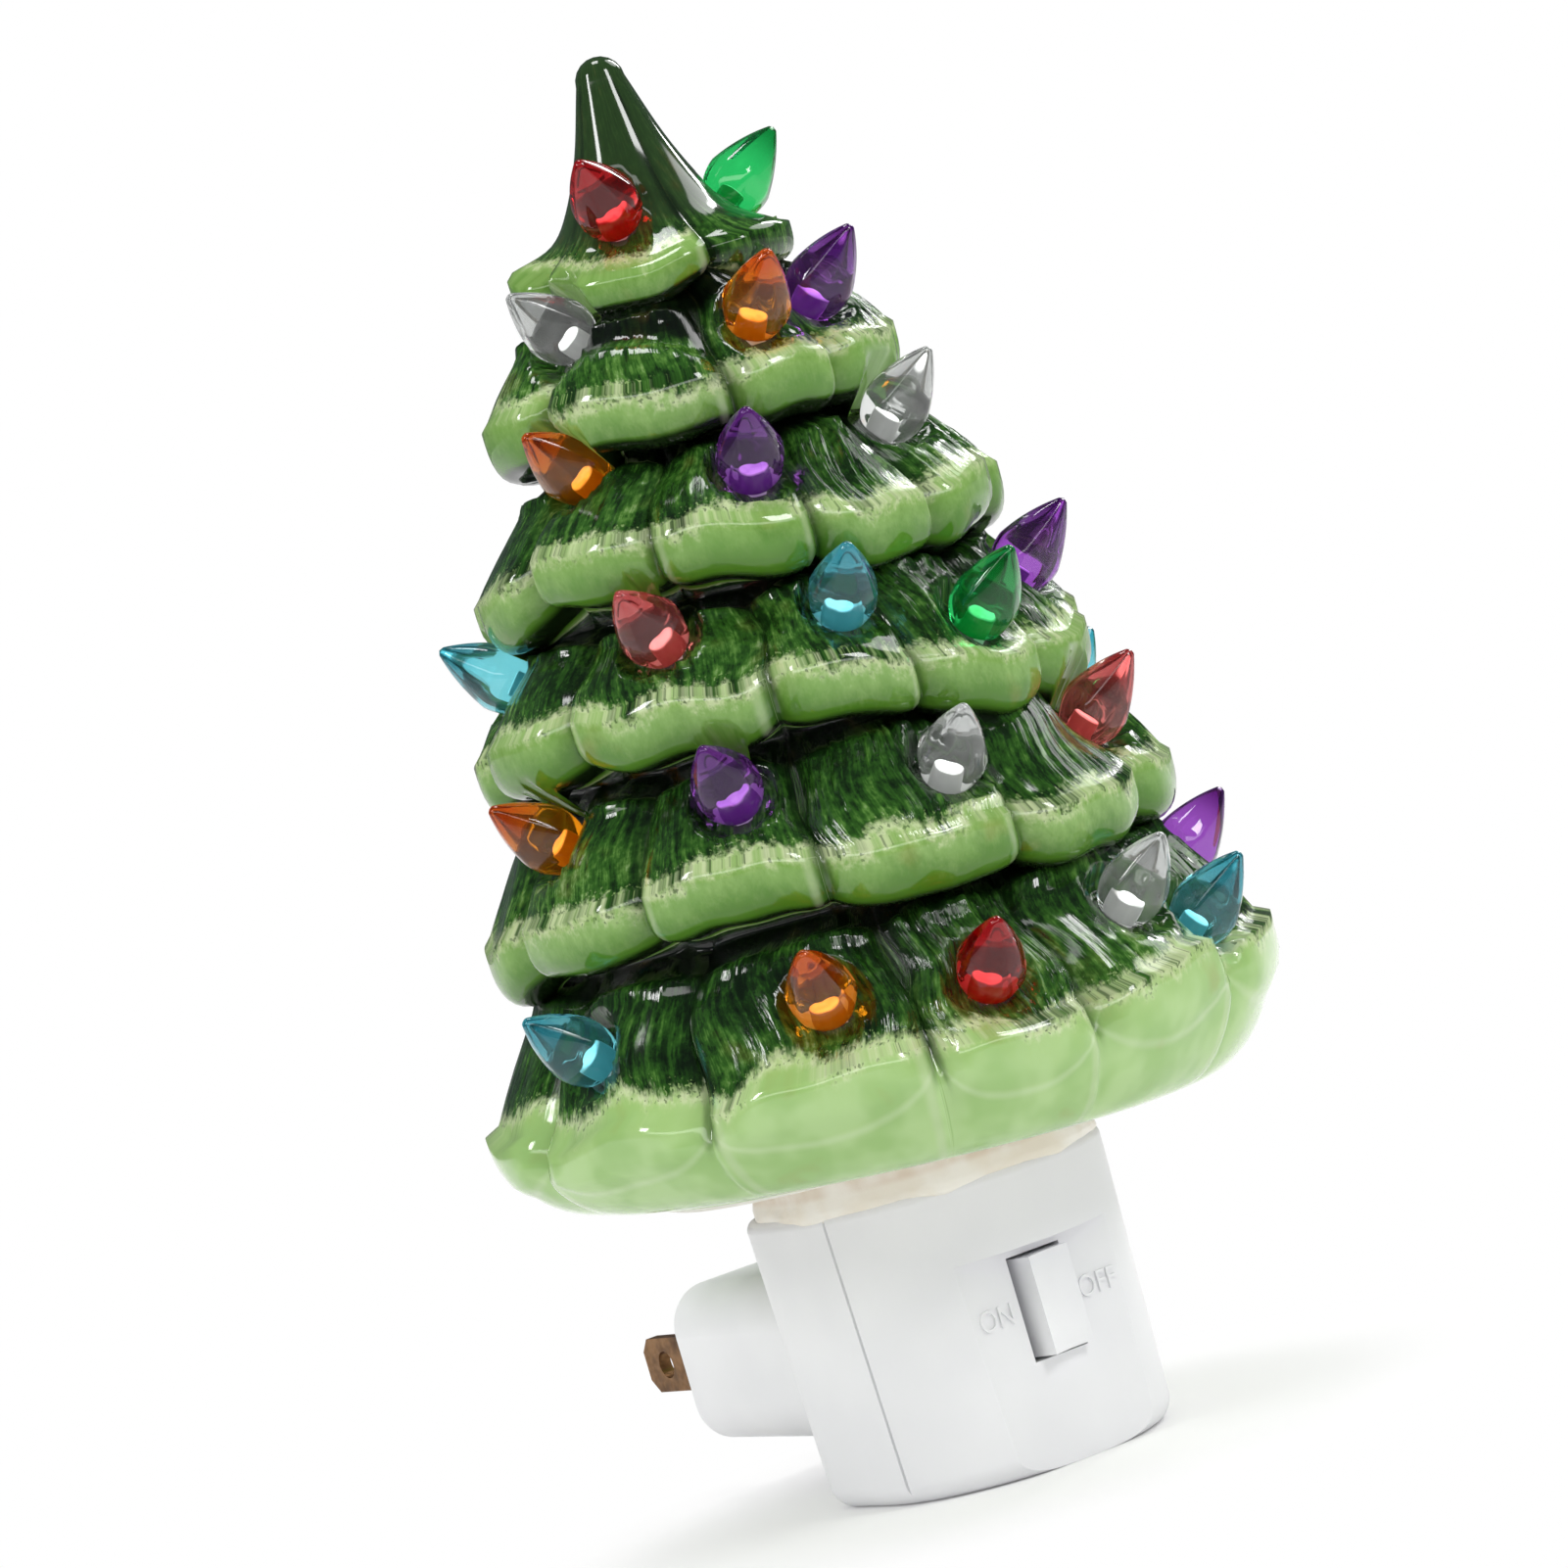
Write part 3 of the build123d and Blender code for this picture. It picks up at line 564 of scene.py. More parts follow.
def band_tones(tree, guides, below, patches):
    """Greens of the bands and the paler skirt, lighter towards their upper edge, with ochre patches."""
    light = mixed(tree, spread(tree, guides["along"], -5.5, -1.5), *band_greens)
    light = mixed(tree, spread(tree, patches, 0.42, 0.60, 0.0, 0.6), light, band_patch)
    skirt = mixed(tree, spread(tree, patches, 0.38, 0.62), *skirt_greens)
    light = mixed(tree, spread(tree, guides["tier"], *skirt_tiers, 0.0, 0.95), light, skirt)
    upper = times(tree, less(tree, spread(tree, below, 0.5, 5.5)),
                  spread(tree, patches, 0.3, 0.7, 0.4, 0.8))
    light = mixed(tree, upper, light, upper_green)
    return mixed(tree, spread(tree, patches, 0.62, 0.76, 0.0, 0.3), light, band_ochre)


def band_paint(tree, guides, below, mottle, patches):
    """Pale green, cream along its upper edge, with a painted highlight along the skirt's petal edges,
    painted shade in the clefts, and near-black painted shade where it turns under, over dark glaze there.
    """
    light = band_tones(tree, guides, below, patches)
    cream = times(tree, less(tree, spread(tree, below, 0.0, 2.2)),
                  spread(tree, mottle, 0.36, 0.60, 0.25, 0.9))
    light = mixed(tree, cream, light, fringe_cream)
    # Painted highlight along each petal's edge
    rim_highlight = less(tree, spread(tree, maths(tree, "ABSOLUTE", guides["petal"]), 0.0, 0.06))
    light = mixed(tree, times(tree, rim_highlight, 0.2), light, petal_rim_highlight)
    # Painted shade in the clefts between branches
    cleft = times(tree, spread(tree, guides["cleft"], 0.88, 1.0, 0.0, 0.85),
                  spread(tree, guides["petal"], 0.0, 0.22, 1.0, 0.0))
    light = mixed(tree, cleft, light, cleft_shade_green)
    # Painted shade where the band turns under
    return mixed(tree, spread(tree, guides["under"], 0.0, 0.13, 0.0, 0.95), light, underside_shade_black)


def fringe_shift(tree, guides):
    """Millimetres by which brush strokes move the pale paint's upper edge; they are longer on the skirt."""
    stretch = spread(tree, guides["tier"], *skirt_tiers, 1.0, 0.6)
    strokes = dict(guides, along=times(tree, guides["along"], stretch))
    teeth = brush_noise(tree, strokes, 0.8, 0.5, 3.0, 0.7)
    slow = brush_noise(tree, guides, 0.12, 0.0, 1.0)
    return weighed(tree, (maths(tree, "SUBTRACT", teeth, 0.5), 4.4),
                   (maths(tree, "SUBTRACT", slow, 0.5), 5.5))


def tree_paint(tree, guides, needle, mottle, patches):
    """Needles and band with flecks of each in the other where they meet, and a painted highlight along the
    edge where one branch overlaps the next.
    """
    dots = brush_noise(tree, guides, 2.4, 1.7, 1.0)
    above = maths(tree, "SUBTRACT", guides["fringe"], guides["along"])
    below = maths(tree, "ADD", above, fringe_shift(tree, guides))
    near = less(tree, spread(tree, maths(tree, "ABSOLUTE", below), 0.5, 1.8))
    dark = slope_paint(tree, guides, needle, patches)
    flecks = times(tree, near, spread(tree, dots, 0.40, 0.32, 0.0, 0.7))
    dark = mixed(tree, flecks, dark, fleck_green)
    light = band_paint(tree, guides, below, mottle, patches)
    specks = times(tree, near, spread(tree, dots, 0.58, 0.66, 0.0, 0.65))
    light = mixed(tree, specks, light, speck_green)
    paint = mixed(tree, spread(tree, below, -0.8, 0.9), dark, light)
    # Painted highlight along the overlapping branch's corner
    lap_highlight = times(tree, spread(tree, guides["lap"], 0.80, 0.87),
                 less(tree, spread(tree, guides["lap"], 0.89, 0.95)))
    return mixed(tree, times(tree, lap_highlight, 0.3), paint, lap_highlight_pale)


def glaze_material():
    """Brushed needles over a pale band under a clear glaze; bare clay below."""
    material, tree, shader = new_material("green_glaze")
    names = ("along", "across", "branch", "tier", "fringe", "cleft", "lap", "neck", "recess", "under",
             "petal", "vigour", "bare")
    guides = {name: attribute(tree, name) for name in names}
    streaks = brush_noise(tree, guides, 1.5, 0.14, 3.0)
    mottle = brush_noise(tree, guides, 1.0, 0.75, 3.0)
    fine = brush_noise(tree, guides, 3.8, 1.2)
    patches = brush_noise(tree, guides, 0.13, 0.13)
    needle = weighed(tree, (mottle, 0.28), (streaks, 0.34), (fine, 0.1), (patches, 0.28))
    paint = tree_paint(tree, guides, needle, mottle, patches)
    clay = mixed(tree, patches, *clay_whites)
    colour = mixed(tree, spread(tree, guides["bare"], 0.4, 0.6), paint, clay)
    tree.links.new(colour, shader.inputs["Base Color"])
    rough = weighed(tree, (fine, 0.06), (guides["bare"], 0.6))
    tree.links.new(maths(tree, "ADD", rough, 0.05), shader.inputs["Roughness"])
    relief = times(tree, streaks, guides["vigour"])
    tree.links.new(bumped(tree, relief, 0.5, 0.0006), shader.inputs["Normal"])
    shader.inputs["IOR"].default_value = 1.5
    return material


def bulb_material(colour, body, tip):
    """Clear moulded plastic, stronger in colour towards the tip."""
    material, tree, shader = new_material("bulb_" + colour)
    rise = attribute(tree, "rise")
    swirl = noise_of(tree, object_place(tree), 260.0, 2.0)
    share = maths(tree, "ADD", spread(tree, rise, 0.45, 1.0), times(tree, swirl, 0.25), True)
    tree.links.new(mixed(tree, share, body, tip), shader.inputs["Base Color"])
    tree.links.new(spread(tree, swirl, 0.3, 0.7, 0.015, 0.05), shader.inputs["Roughness"])
    shader.inputs["Transmission Weight"].default_value = 0.94
    shader.inputs["IOR"].default_value = 1.49
    return material


def peg_material(colour, body):
    """Frosted peg with a painted glow, brightest at its bore's end, which shows through the bulb; the glow
    does not light diffuse surfaces.
    """
    material, tree, shader = new_material("peg_" + colour)
    grain, mottle = grain_of(tree, 2200.0, 700.0)
    deep = tuple(peg_shade * channel for channel in linear(*body)[:3]) + (1.0,)
    pale = mixed(tree, spread(tree, mottle, 0.3, 0.7, 0.35, 0.75), body, (255, 255, 255))
    tint = mixed(tree, attribute(tree, "gather"), deep, pale)
    tree.links.new(tint, shader.inputs["Base Color"])
    # Painted glow in the peg's own colour, darker on the bore's wall
    tree.links.new(tint, shader.inputs["Emission Color"])
    tree.links.new(spread(tree, grain, 0.3, 0.7, 0.35, 0.55), shader.inputs["Roughness"])
    cast = less(tree, add_node(tree, "ShaderNodeLightPath").outputs["Diffuse Depth"])
    tree.links.new(times(tree, cast, painted_peg_glow), shader.inputs["Emission Strength"])
    return material


def plastic_material(name, colour, shade, roughness=0.38):
    """Moulded plastic with a faint grain."""
    material, tree, shader = new_material(name)
    grain, mottle = grain_of(tree, 2600.0, 60.0)
    tree.links.new(mixed(tree, spread(tree, mottle, 0.3, 0.7), colour, shade),
                   shader.inputs["Base Color"])
    dullness = spread(tree, mottle, 0.25, 0.75, roughness - 0.05, roughness + 0.05)
    tree.links.new(dullness, shader.inputs["Roughness"])
    tree.links.new(bumped(tree, grain, 0.08, 0.0001), shader.inputs["Normal"])
    shader.inputs["IOR"].default_value = 1.5
    return material


def metal_material(name, colour, shade, roughness):
    """Drawn sheet metal with tarnish."""
    material, tree, shader = new_material(name)
    grain, mottle = grain_of(tree, 1800.0, 320.0)
    tree.links.new(mixed(tree, spread(tree, mottle, 0.35, 0.68), colour, shade),
                   shader.inputs["Base Color"])
    dullness = spread(tree, grain, 0.3, 0.7, roughness - 0.08, roughness + 0.1)
    tree.links.new(dullness, shader.inputs["Roughness"])
    tree.links.new(bumped(tree, grain, 0.15, 0.0001), shader.inputs["Normal"])
    shader.inputs["Metallic"].default_value = 1.0
    return material


def adhesive_material():
    """Set glue: cream, slightly clear, with brownish runs."""
    material, tree, shader = new_material("cream_adhesive")
    grain, mottle = grain_of(tree, 900.0, 190.0)
    run = attribute(tree, "run")
    cream = mixed(tree, spread(tree, mottle, 0.35, 0.65), (242, 238, 229), (234, 226, 211))
    brown = times(tree, spread(tree, run, 0.35, 0.95), spread(tree, mottle, 0.3, 0.6))
    tree.links.new(mixed(tree, times(tree, brown, 0.45), cream, (198, 172, 144)),
                   shader.inputs["Base Color"])
    shader.inputs["Roughness"].default_value = 0.35
    tree.links.new(bumped(tree, grain, 0.2, 0.0003), shader.inputs["Normal"])
    return material


def glass_material(name):
    """Thin clear glass with faint flow marks."""
    material, tree, shader = new_material(name)
    grain, mottle = grain_of(tree, 400.0, 60.0)
    tint = mixed(tree, mottle, (250, 250, 250), (238, 240, 240))
    tree.links.new(tint, shader.inputs["Base Color"])
    tree.links.new(spread(tree, grain, 0.3, 0.7, 0.0, 0.03), shader.inputs["Roughness"])
    shader.inputs["Transmission Weight"].default_value = 1.0
    return material


# Tree

def tier_radius(tier):
    return tree_radius * tier_reach_shares[tier]


def tier_level(tier):
    return tree_height * tier_level_shares[tier]


def tier_band(tier):
    """Height and tuck of the pale band under a tier's edge."""
    if tier == 0:
        return band_height * top_band_share, band_tuck * top_tuck_share
    if tier == lowest_tier:
        return tier_level(tier), foot_tuck
    return band_height, band_tuck


def tier_sections(tier):
    """Crest radius, valley depth, level and share of the branches' rise of a slope, from neck to edge."""
    edge = (tier_radius(tier) - edge_round, valley_depth * edge_valley_share,
            tier_level(tier) + edge_round, 1.0)
    if tier == 0:
        rise = tree_height - tier_level(0)
        shares = zip(flare_reach_shares, flare_rise_shares, flare_branch_shares)
        flare = [(tier_radius(0) * reach, valley_depth * reach * slope_valley_share,
                  tier_level(0) + rise * up, lift) for reach, up, lift in shares]
        return [(tip_radius, 0.0, tree_height - tip_radius, 0.0)] + flare + [edge]
    band, tuck = tier_band(tier - 1)
    neck = (tier_radius(tier - 1) - tuck - neck_step, valley_depth * slope_valley_share,
            tier_level(tier - 1) - band + neck_rise, 0.0)
    return [neck, edge]


def through(points, steps):
    """Points on a smooth curve through the given ones."""
    points = [Vector(point) for point in points]
    points = [points[0] * 2 - points[1]] + points + [points[-1] * 2 - points[-2]]
    curve = []
    for before, start, end, after in zip(points, points[1:], points[2:], points[3:]):
        for step in range(steps):
            t = step / steps
            bend = 2 * before - 5 * start + 4 * end - after
            twist = 3 * start - before - 3 * end + after
            curve.append(0.5 * (2 * start + (end - before) * t + bend * t ** 2 + twist * t ** 3))
    return curve + [points[-2]]


def slope_share(step):
    """How far down a slope a step lies: the steps crowd towards the shoulder."""
    first = 2 * math.pi * slope_crowding_start
    turn = 2 * math.pi * (step / slope_steps + slope_crowding_start)
    return step / slope_steps + slope_crowding_share * (math.sin(turn) - math.sin(first))


def slope_rings(tier):
    """Rings of a slope, from its neck or the tip to its edge."""
    sections = [Vector(section) for section in tier_sections(tier)]
    if tier == 0:
        curve = through(sections, flare_steps)
    else:
        curve = [sections[0].lerp(sections[1], slope_share(step)) for step in range(slope_steps + 1)]
    lengths = [0.0]
    for upper, lower in zip(curve, curve[1:]):
        lengths.append(lengths[-1] + math.hypot(lower.x - upper.x, lower.z - upper.z))
    whole = lengths[-1]
    return [Ring(tier, point.x, point.y, point.z, point.w, "slope", length / whole, whole - length)
            for point, length in zip(curve, lengths)]


def band_rings(tier):
    """A flat face that turns under towards its foot; the lowest tier's skirt rounds in more slowly."""
    band, tuck = tier_band(tier)
    lowest = tier == lowest_tier
    steps = skirt_steps if lowest else band_steps
    foot_share = skirt_valley_share if lowest else foot_valley_share
    power = skirt_roundness if lowest else band_squareness
    rings = []
    for step in range(steps + 1):
        share = math.sin(math.pi / 2 * step / steps)
        depth = valley_depth * (1 + (foot_share - 1) * share)
        inward = tuck * (1 - max(0.0, 1 - share ** power) ** (1 / power))
        lift = 1 - share if lowest else 1.0
        rings.append(Ring(tier, tier_radius(tier) - inward, depth, tier_level(tier) - band * share, lift,
                          "band", share, -math.hypot(band * share, inward)))
    return rings


def inner_rings():
    """Underside, lamp hole and inside wall, from the foot to the inside of the tip."""
    outline = [(tier_radius(lowest_tier) - foot_tuck - tree_wall, 0.0), (lamp_hole, 0.0),
               (lamp_hole, tree_floor)]
    for tier in reversed(range(tier_count)):
        edge = tier_radius(tier) - valley_depth - tree_wall
        if tier == lowest_tier:
            outline.append((edge - tree_wall, tree_floor))
        outline.append((edge, tier_level(tier) - edge_round))
        if tier > 0:
            neck_radius, _, neck_level, _ = tier_sections(tier)[0]
            outline.append((neck_radius - tree_wall, neck_level - neck_rise))
    outline.append((0.0, tier_level(0) + tree_wall))
    return [Ring(lowest_tier, radius, 0.0, level, 0.0, "inner", 0.0, 0.0) for radius, level in outline]


def tree_rings():
    """All rings of the tree, down its outside from the tip and up its inside."""
    rise = tree_height - tier_level(0)
    rings = []
    for step in range(dome_steps):
        angle = math.pi / 2 * step / dome_steps
        level = tree_height - tip_radius * (1 - math.cos(angle))
        rings.append(Ring(0, tip_radius * math.sin(angle), 0.0, level, 0.0, "tip", 0.0, rise))
    for tier in range(tier_count):
        rings = rings + slope_rings(tier) + band_rings(tier)
    return rings + inner_rings()


def branch_chance(tier, number, seed):
    """Chance value of a branch, the same on each run."""
    by_tier, by_branch, offset = seed
    return noise.noise((tier * by_tier, number * by_branch, offset))


def branch_fringe(tier, number):
    """Where the pale paint of a branch begins."""
    chance = branch_chance(tier, number, fringe_seed)
    usual = {0: top_fringe, lowest_tier: skirt_fringe}.get(tier, fringe_height + fringe_spread * chance)
    return own_fringes.get((tier, number), usual)


def branch_steps(tier):
    """How far each branch stands behind the one before it, at the valley where it starts."""
    steps = []
    for number, angle in enumerate(tier_valley_degrees[tier]):
        side = math.copysign(1.0, math.sin(math.radians(angle) - overlap_bearing))
        chance = abs(branch_chance(tier, number, overlap_seed))
        steps.append(side * branch_overlap * (overlap_least + overlap_spread * chance))
    return steps


def branches(tier):
    """The branch at each segment round the tree, and where in it the segment lies."""
    angles = tier_valley_degrees[tier]
    ends = angles[1:] + (angles[0] + 360,)
    rises = [band_height * share for share in tier_branch_shares[tier]]
    steps = branch_steps(tier)
    table = []
    for segment in range(tree_segments):
        bearing = 360 * segment / tree_segments
        number = next(n for n in range(len(angles)) if (bearing - angles[n]) % 360 < ends[n] - angles[n])
        following = (number + 1) % len(angles)
        half = math.radians(ends[number] - angles[number]) / 2
        away = math.radians((bearing - angles[number]) % 360) - half
        table.append(Branch(number, away, half, (rises[number] + rises[number - 1]) / 2, rises[number],
                            (rises[number] + rises[following]) / 2, steps[number], steps[following],
                            branch_fringe(tier, number)))
    return table


def cleft_share(branch):
    """0 in the middle of a branch, 1 in the valleys beside it."""
    return abs(branch.away) / branch.half


def nearer_step(branch):
    """How far a branch stands over its neighbour at the nearer valley."""
    return branch.end_step if branch.away > 0 else -branch.start_step


def is_skirt(ring):
    return ring.part == "band" and ring.tier == lowest_tier


def ring_point(ring, branch):
    """Distance from the axis and height of a lobed section: arcs that meet in the valleys."""
    if ring.depth <= 0:
        return ring.reach, ring.level
    low = ring.reach - ring.depth
    valley = low * math.cos(branch.half)
    centre = (ring.reach ** 2 - low ** 2) / (2 * (ring.reach - valley))
    arc = ring.reach - centre
    radius = centre * math.cos(branch.away) + math.sqrt(arc ** 2 - (centre * math.sin(branch.away)) ** 2)
    inward = (ring.reach - radius * math.cos(branch.away)) / (ring.reach - valley)
    aside = radius * math.sin(branch.away) / (low * math.sin(branch.half))
    valley_rise = (branch.start_rise + branch.end_rise) / 2
    tilt = (branch.end_rise - branch.start_rise) / 2
    rise = branch.rise + (valley_rise - branch.rise) * inward + tilt * aside
    return radius, ring.level + ring.lift * rise


def edge_freedom(ring):
    """How much of its branches' unevenness a ring shows: all at the edge, none at the neck and the foot."""
    if ring.part == "slope":
        return ring.share if ring.tier else ring.share ** top_growth_power
    return 1 - ring.share if is_skirt(ring) else 1.0


def branch_reach(ring, branch, radius):
    """Distance from the axis with the branch's overlap and its flattened face."""
    cleft = cleft_share(branch)
    free = edge_freedom(ring)
    radius += nearer_step(branch) * smooth(*overlap_range, cleft) * free
    if ring.tier == 0 and ring.part == "slope":
        radius += ring.depth * (cleft ** 2 - math.sin(math.pi / 2 * cleft) ** 2)
        return radius + (ring.reach - ring.depth / 2 - radius) * (1 - smooth(*top_lobe_range, ring.share))
    radius += ring.depth * (cleft ** 2 - cleft ** face_flatness) * free
    if is_skirt(ring):
        radius += ring.depth * cleft ** 2 * skirt_fill_share * smooth(*skirt_fill_range, ring.share)
    return radius


def needle_vigour(ring, bearing, branch):
    """How deep the needles of a branch are moulded, from 0 to 1; faint on the top tier."""
    chance = branch_chance(ring.tier, branch.number, vigour_seed)
    side = math.sin(bearing + needle_side_turn)
    strength = smooth(*needle_vigour_range, needle_chance_weight * chance + needle_side_weight * side)
    vigour = needle_least_share + (1 - needle_least_share) * strength
    return vigour * (top_needle_share * smooth(*top_needle_range, ring.share) if ring.tier == 0 else 1.0)


def needles(ring, bearing, branch):
    """Height of the moulded needles on a slope, as sharp ridges that fan out from the neck."""
    by_tier, by_branch, offset = needle_seed
    seed = Vector((ring.tier * by_tier, branch.number * by_branch, offset))
    aside = branch.away * tier_radius(ring.tier) / mm / needle_width
    place = Vector((aside, ring.along / mm / needle_length, 0))
    ridge = needle_crest - needle_sharpness * abs(noise.noise(place + seed))
    ends = smooth(*needle_start_range, ring.share) * (1 - smooth(*needle_end_range, ring.share))
    return needle_depth * needle_vigour(ring, bearing, branch) * ends * ridge


def slope_relief(ring, bearing, branch):
    """How far a point of a slope stands out from the plain slope."""
    cleft = cleft_share(branch)
    relief = needles(ring, bearing, branch) * (1 - cleft ** 4)
    if ring.tier == 0:
        return relief
    relief += slope_bulge * math.sin(math.pi * ring.share ** slope_bulge_power) * (1 - cleft ** 3)
    chance = round_noise(bearing, shoulder_waves, ring.tier * shoulder_seed)
    shoulder = shoulder_shares[ring.tier]
    swell = math.exp(-((ring.share - shoulder) / shoulder_width_share) ** 2)
    relief += shoulder_rise * swell * smooth(*shoulder_range, chance) * (1 - cleft ** 4)
    return relief - neck_hollow * (1 - smooth(shoulder / 2, shoulder, ring.share))


def petal_height(ring, branch):
    """How far a raised petal stands proud of its slope and band."""
    cleft = cleft_share(branch)
    height = raised_petals.get((ring.tier, branch.number), 0.0) * (1 - cleft ** 6)
    if ring.part == "band":
        return height
    start, end = (petal_top_share + petal_top_arch * cleft ** 2 + share for share in petal_top_range)
    return height * smooth(start, end, ring.share)


def petal_edge(ring, branch):
    """How far a point of the skirt lies below its petal's round lower edge, as a share of the skirt."""
    return ring.share - petal_share * math.sqrt(max(0.0, 1 - cleft_share(branch) ** petal_roundness))


def slope_curl(ring, bearing, branch):
    """Turn by which the valleys of a slope wander from their bearing."""
    by_tier, by_branch = curl_seed
    curl = noise.noise((ring.tier * by_tier + branch.number * by_branch, ring.share * curl_waves,
                        math.sin(bearing) * curl_turns))
    return valley_wander * curl * math.sin(math.pi * ring.share) * min(1.0, ring.tier)


def tree_vertex(ring, bearing, branch):
    """Place of one point of the tree, from the middle of its foot."""
    radius, level = ring_point(ring, branch)
    if ring.part not in ("slope", "band"):
        return around(radius, bearing, level)
    radius = branch_reach(ring, branch, radius)
    waves = edge_waves * tier_reach_shares[ring.tier]
    level += edge_wave * round_noise(bearing, waves, ring.tier * edge_wave_seed) * edge_freedom(ring)
    relief = petal_height(ring, branch)
    if ring.part == "slope":
        relief += slope_relief(ring, bearing, branch)
    radius += relief * math.sqrt(0.5)
    level += relief * math.sqrt(0.5)
    if ring.part == "slope":
        bearing += slope_curl(ring, bearing, branch)
    elif is_skirt(ring):
        raised = 1 - smooth(*petal_edge_range, petal_edge(ring, branch))
        radius += petal_rise * raised * smooth(*petal_side_range, 1 - cleft_share(branch))
        level -= foot_sway * math.cos(bearing - foot_sway_bearing) * ring.share ** foot_sway_power
    else:
        level += corner_lift * ring.share ** 2 * cleft_share(branch) ** 4
    return around(radius, bearing, level)


def bulb_seats():
    """Seat of each bulb, read from its CAD piece: where the flat foot lies, and the way the bulb points."""
    seats = {}
    for name, node in nodes.items():
        if not name.startswith("bulb_"):
            continue
        points = [vert.co for vert in node.data.vertices]
        middle = sum(points, Vector()) / len(points)
        out = Vector((middle.x - axis_x, middle.y - axis_y, 0)).normalized()
        axis = out * math.cos(bulb_lift) + Vector((0, 0, math.sin(bulb_lift)))
        tip = max(points, key=axis.dot)
        seats[name] = (tip - axis * bulb_height, axis)
    return seats


def press_seat(bm, layers, origin, axis):
    """Flatten the surface under a bulb and sink the hole for its peg."""
    hole_start, hole_end = (peg_radius * share for share in hole_edge_shares)
    for vert in bm.verts:
        step = vert.co - origin
        if step.length > 2 * seat_radius:
            continue
        rise = step.dot(axis)
        aside = (step - axis * rise).length
        if aside > seat_radius + seat_fade or rise < -seat_radius:
            continue
        flat = 1 - smooth(seat_radius, seat_radius + seat_fade, aside)
        hole = 1 - smooth(hole_start, hole_end, aside)
        vert.co -= axis * ((rise + seat_sink) * flat + hole_depth * hole)
        vert[layers["bare"]] = max(vert[layers["bare"]], hole)


def recess_shade_depth(ring, branch):
    """Painted shade of the recess at the top of a slope: 1 in the recess, 0 below it; it reaches further
    down in the valleys.
    """
    end, fade = shoulder_shares[ring.tier] - recess_gap, recess_fade
    if (ring.tier, branch.number) in raised_petals:
        end, fade = petal_top_share - petal_recess_gap, petal_recess_fade
    end += recess_arch * cleft_share(branch) ** 2
    return 1 - smooth(end - fade, end, ring.share)


def under_depth(ring, branch):
    """How far a point of a band lies beyond where the painted shade of its underside begins, as a share of
    the band.
    """
    if branch.fringe < plain_under_fringe:
        return ring.share - 1
    return ring.share - under_shares[min(ring.tier, len(under_shares) - 1)]


def paint_guides(ring, bearing, branch):
    """What the glaze's paint follows at one point of the tree."""
    slope = ring.part == "slope"
    band = ring.part == "band"
    skirt = is_skirt(ring)
    below_band = slope and ring.tier > 0
    cleft = cleft_share(branch) if slope or band else 0.0
    by_tier, by_branch = paint_seed
    return {
        "along": ring.along / mm,
        "across": branch.away * tier_radius(ring.tier) / mm,
        "branch": ring.tier * by_tier + branch.number * by_branch,
        "tier": ring.tier,
        "fringe": branch.fringe,
        "cleft": cleft,
        "lap": cleft if band and nearer_step(branch) > 0 else 0.0,
        # neck and recess carry the painted shade on the slopes below a band
        "neck": 1 - smooth(*neck_shade_range, ring.share) if below_band else 0.0,
        "recess": recess_shade_depth(ring, branch) if below_band else 0.0,
        # under carries the painted shade of a band's underside
        "under": under_depth(ring, branch) if band and not skirt else -1.0,
        "petal": petal_edge(ring, branch) if skirt else -1.0,
        "vigour": needle_vigour(ring, bearing, branch) if slope else 0.0,
        "bare": 1.0 if ring.part == "inner" else 0.0,
    }


def tree_piece(seats, material):
    """The glazed tree: rings spun round its axis and shaped point by point, with a seat for each bulb."""
    rings = tree_rings()
    bm, layer = spun([(ring.reach, ring.level) for ring in rings], tree_segments)
    tables = [branches(tier) for tier in range(tier_count)]
    layers = {name: bm.verts.layers.float.new(name) for name in paint_guides(rings[0], 0.0, tables[0][0])}
    for vert in bm.verts:
        ring = rings[vert[layer]]
        segment = round(math.atan2(vert.co.x, -vert.co.y) / (2 * math.pi) * tree_segments) % tree_segments
        bearing = 2 * math.pi * segment / tree_segments
        branch = tables[ring.tier][segment]
        if ring.reach > 0:
            vert.co = tree_vertex(ring, bearing, branch)
        vert.co += tree_foot
        for name, value in paint_guides(ring, bearing, branch).items():
            vert[layers[name]] = value
    for origin, axis in seats.values():
        press_seat(bm, layers, origin, axis)
    return piece_from(bm, "glazed_tree", material, stands_for=("tree_shell",))


# Bulbs

def bulb_outline():
    """Section of a bulb: the bore in its peg, the peg, and the body from its foot to its tip."""
    foot = bulb_radius * bulb_foot_share
    belly = bulb_height * bulb_belly_share
    crown = bulb_height - bulb_tip_radius / 2
    bore = [(0, bore_reach), (bore_radius - bore_round, bore_reach), (bore_radius, bore_reach - bore_round),
            (bore_radius, -peg_length)]
    peg = bore + [(peg_radius, -peg_length), (peg_radius, 0), (foot - foot_chamfer, 0)]
    lower_bow = (bulb_radius * lower_bow_shares[0], belly * lower_bow_shares[1])
    upper_bow = (bulb_radius * upper_bow_shares[0], bulb_height * upper_bow_shares[1])
    lower = arc_through((foot, foot_chamfer), lower_bow, (bulb_radius, belly), lower_bow_steps)
    upper = arc_through((bulb_radius, belly), upper_bow, (bulb_tip_radius, crown), upper_bow_steps)
    return peg + lower + upper[1:] + [(0, bulb_height)]


def light_gathered(point):
    """Share of the painted glow at a point of the outline: full at the bore's end, none on the bore's wall.
    """
    if point < bore_end_points:
        return 1.0
    return 0.0 if point < bore_points else foot_gather


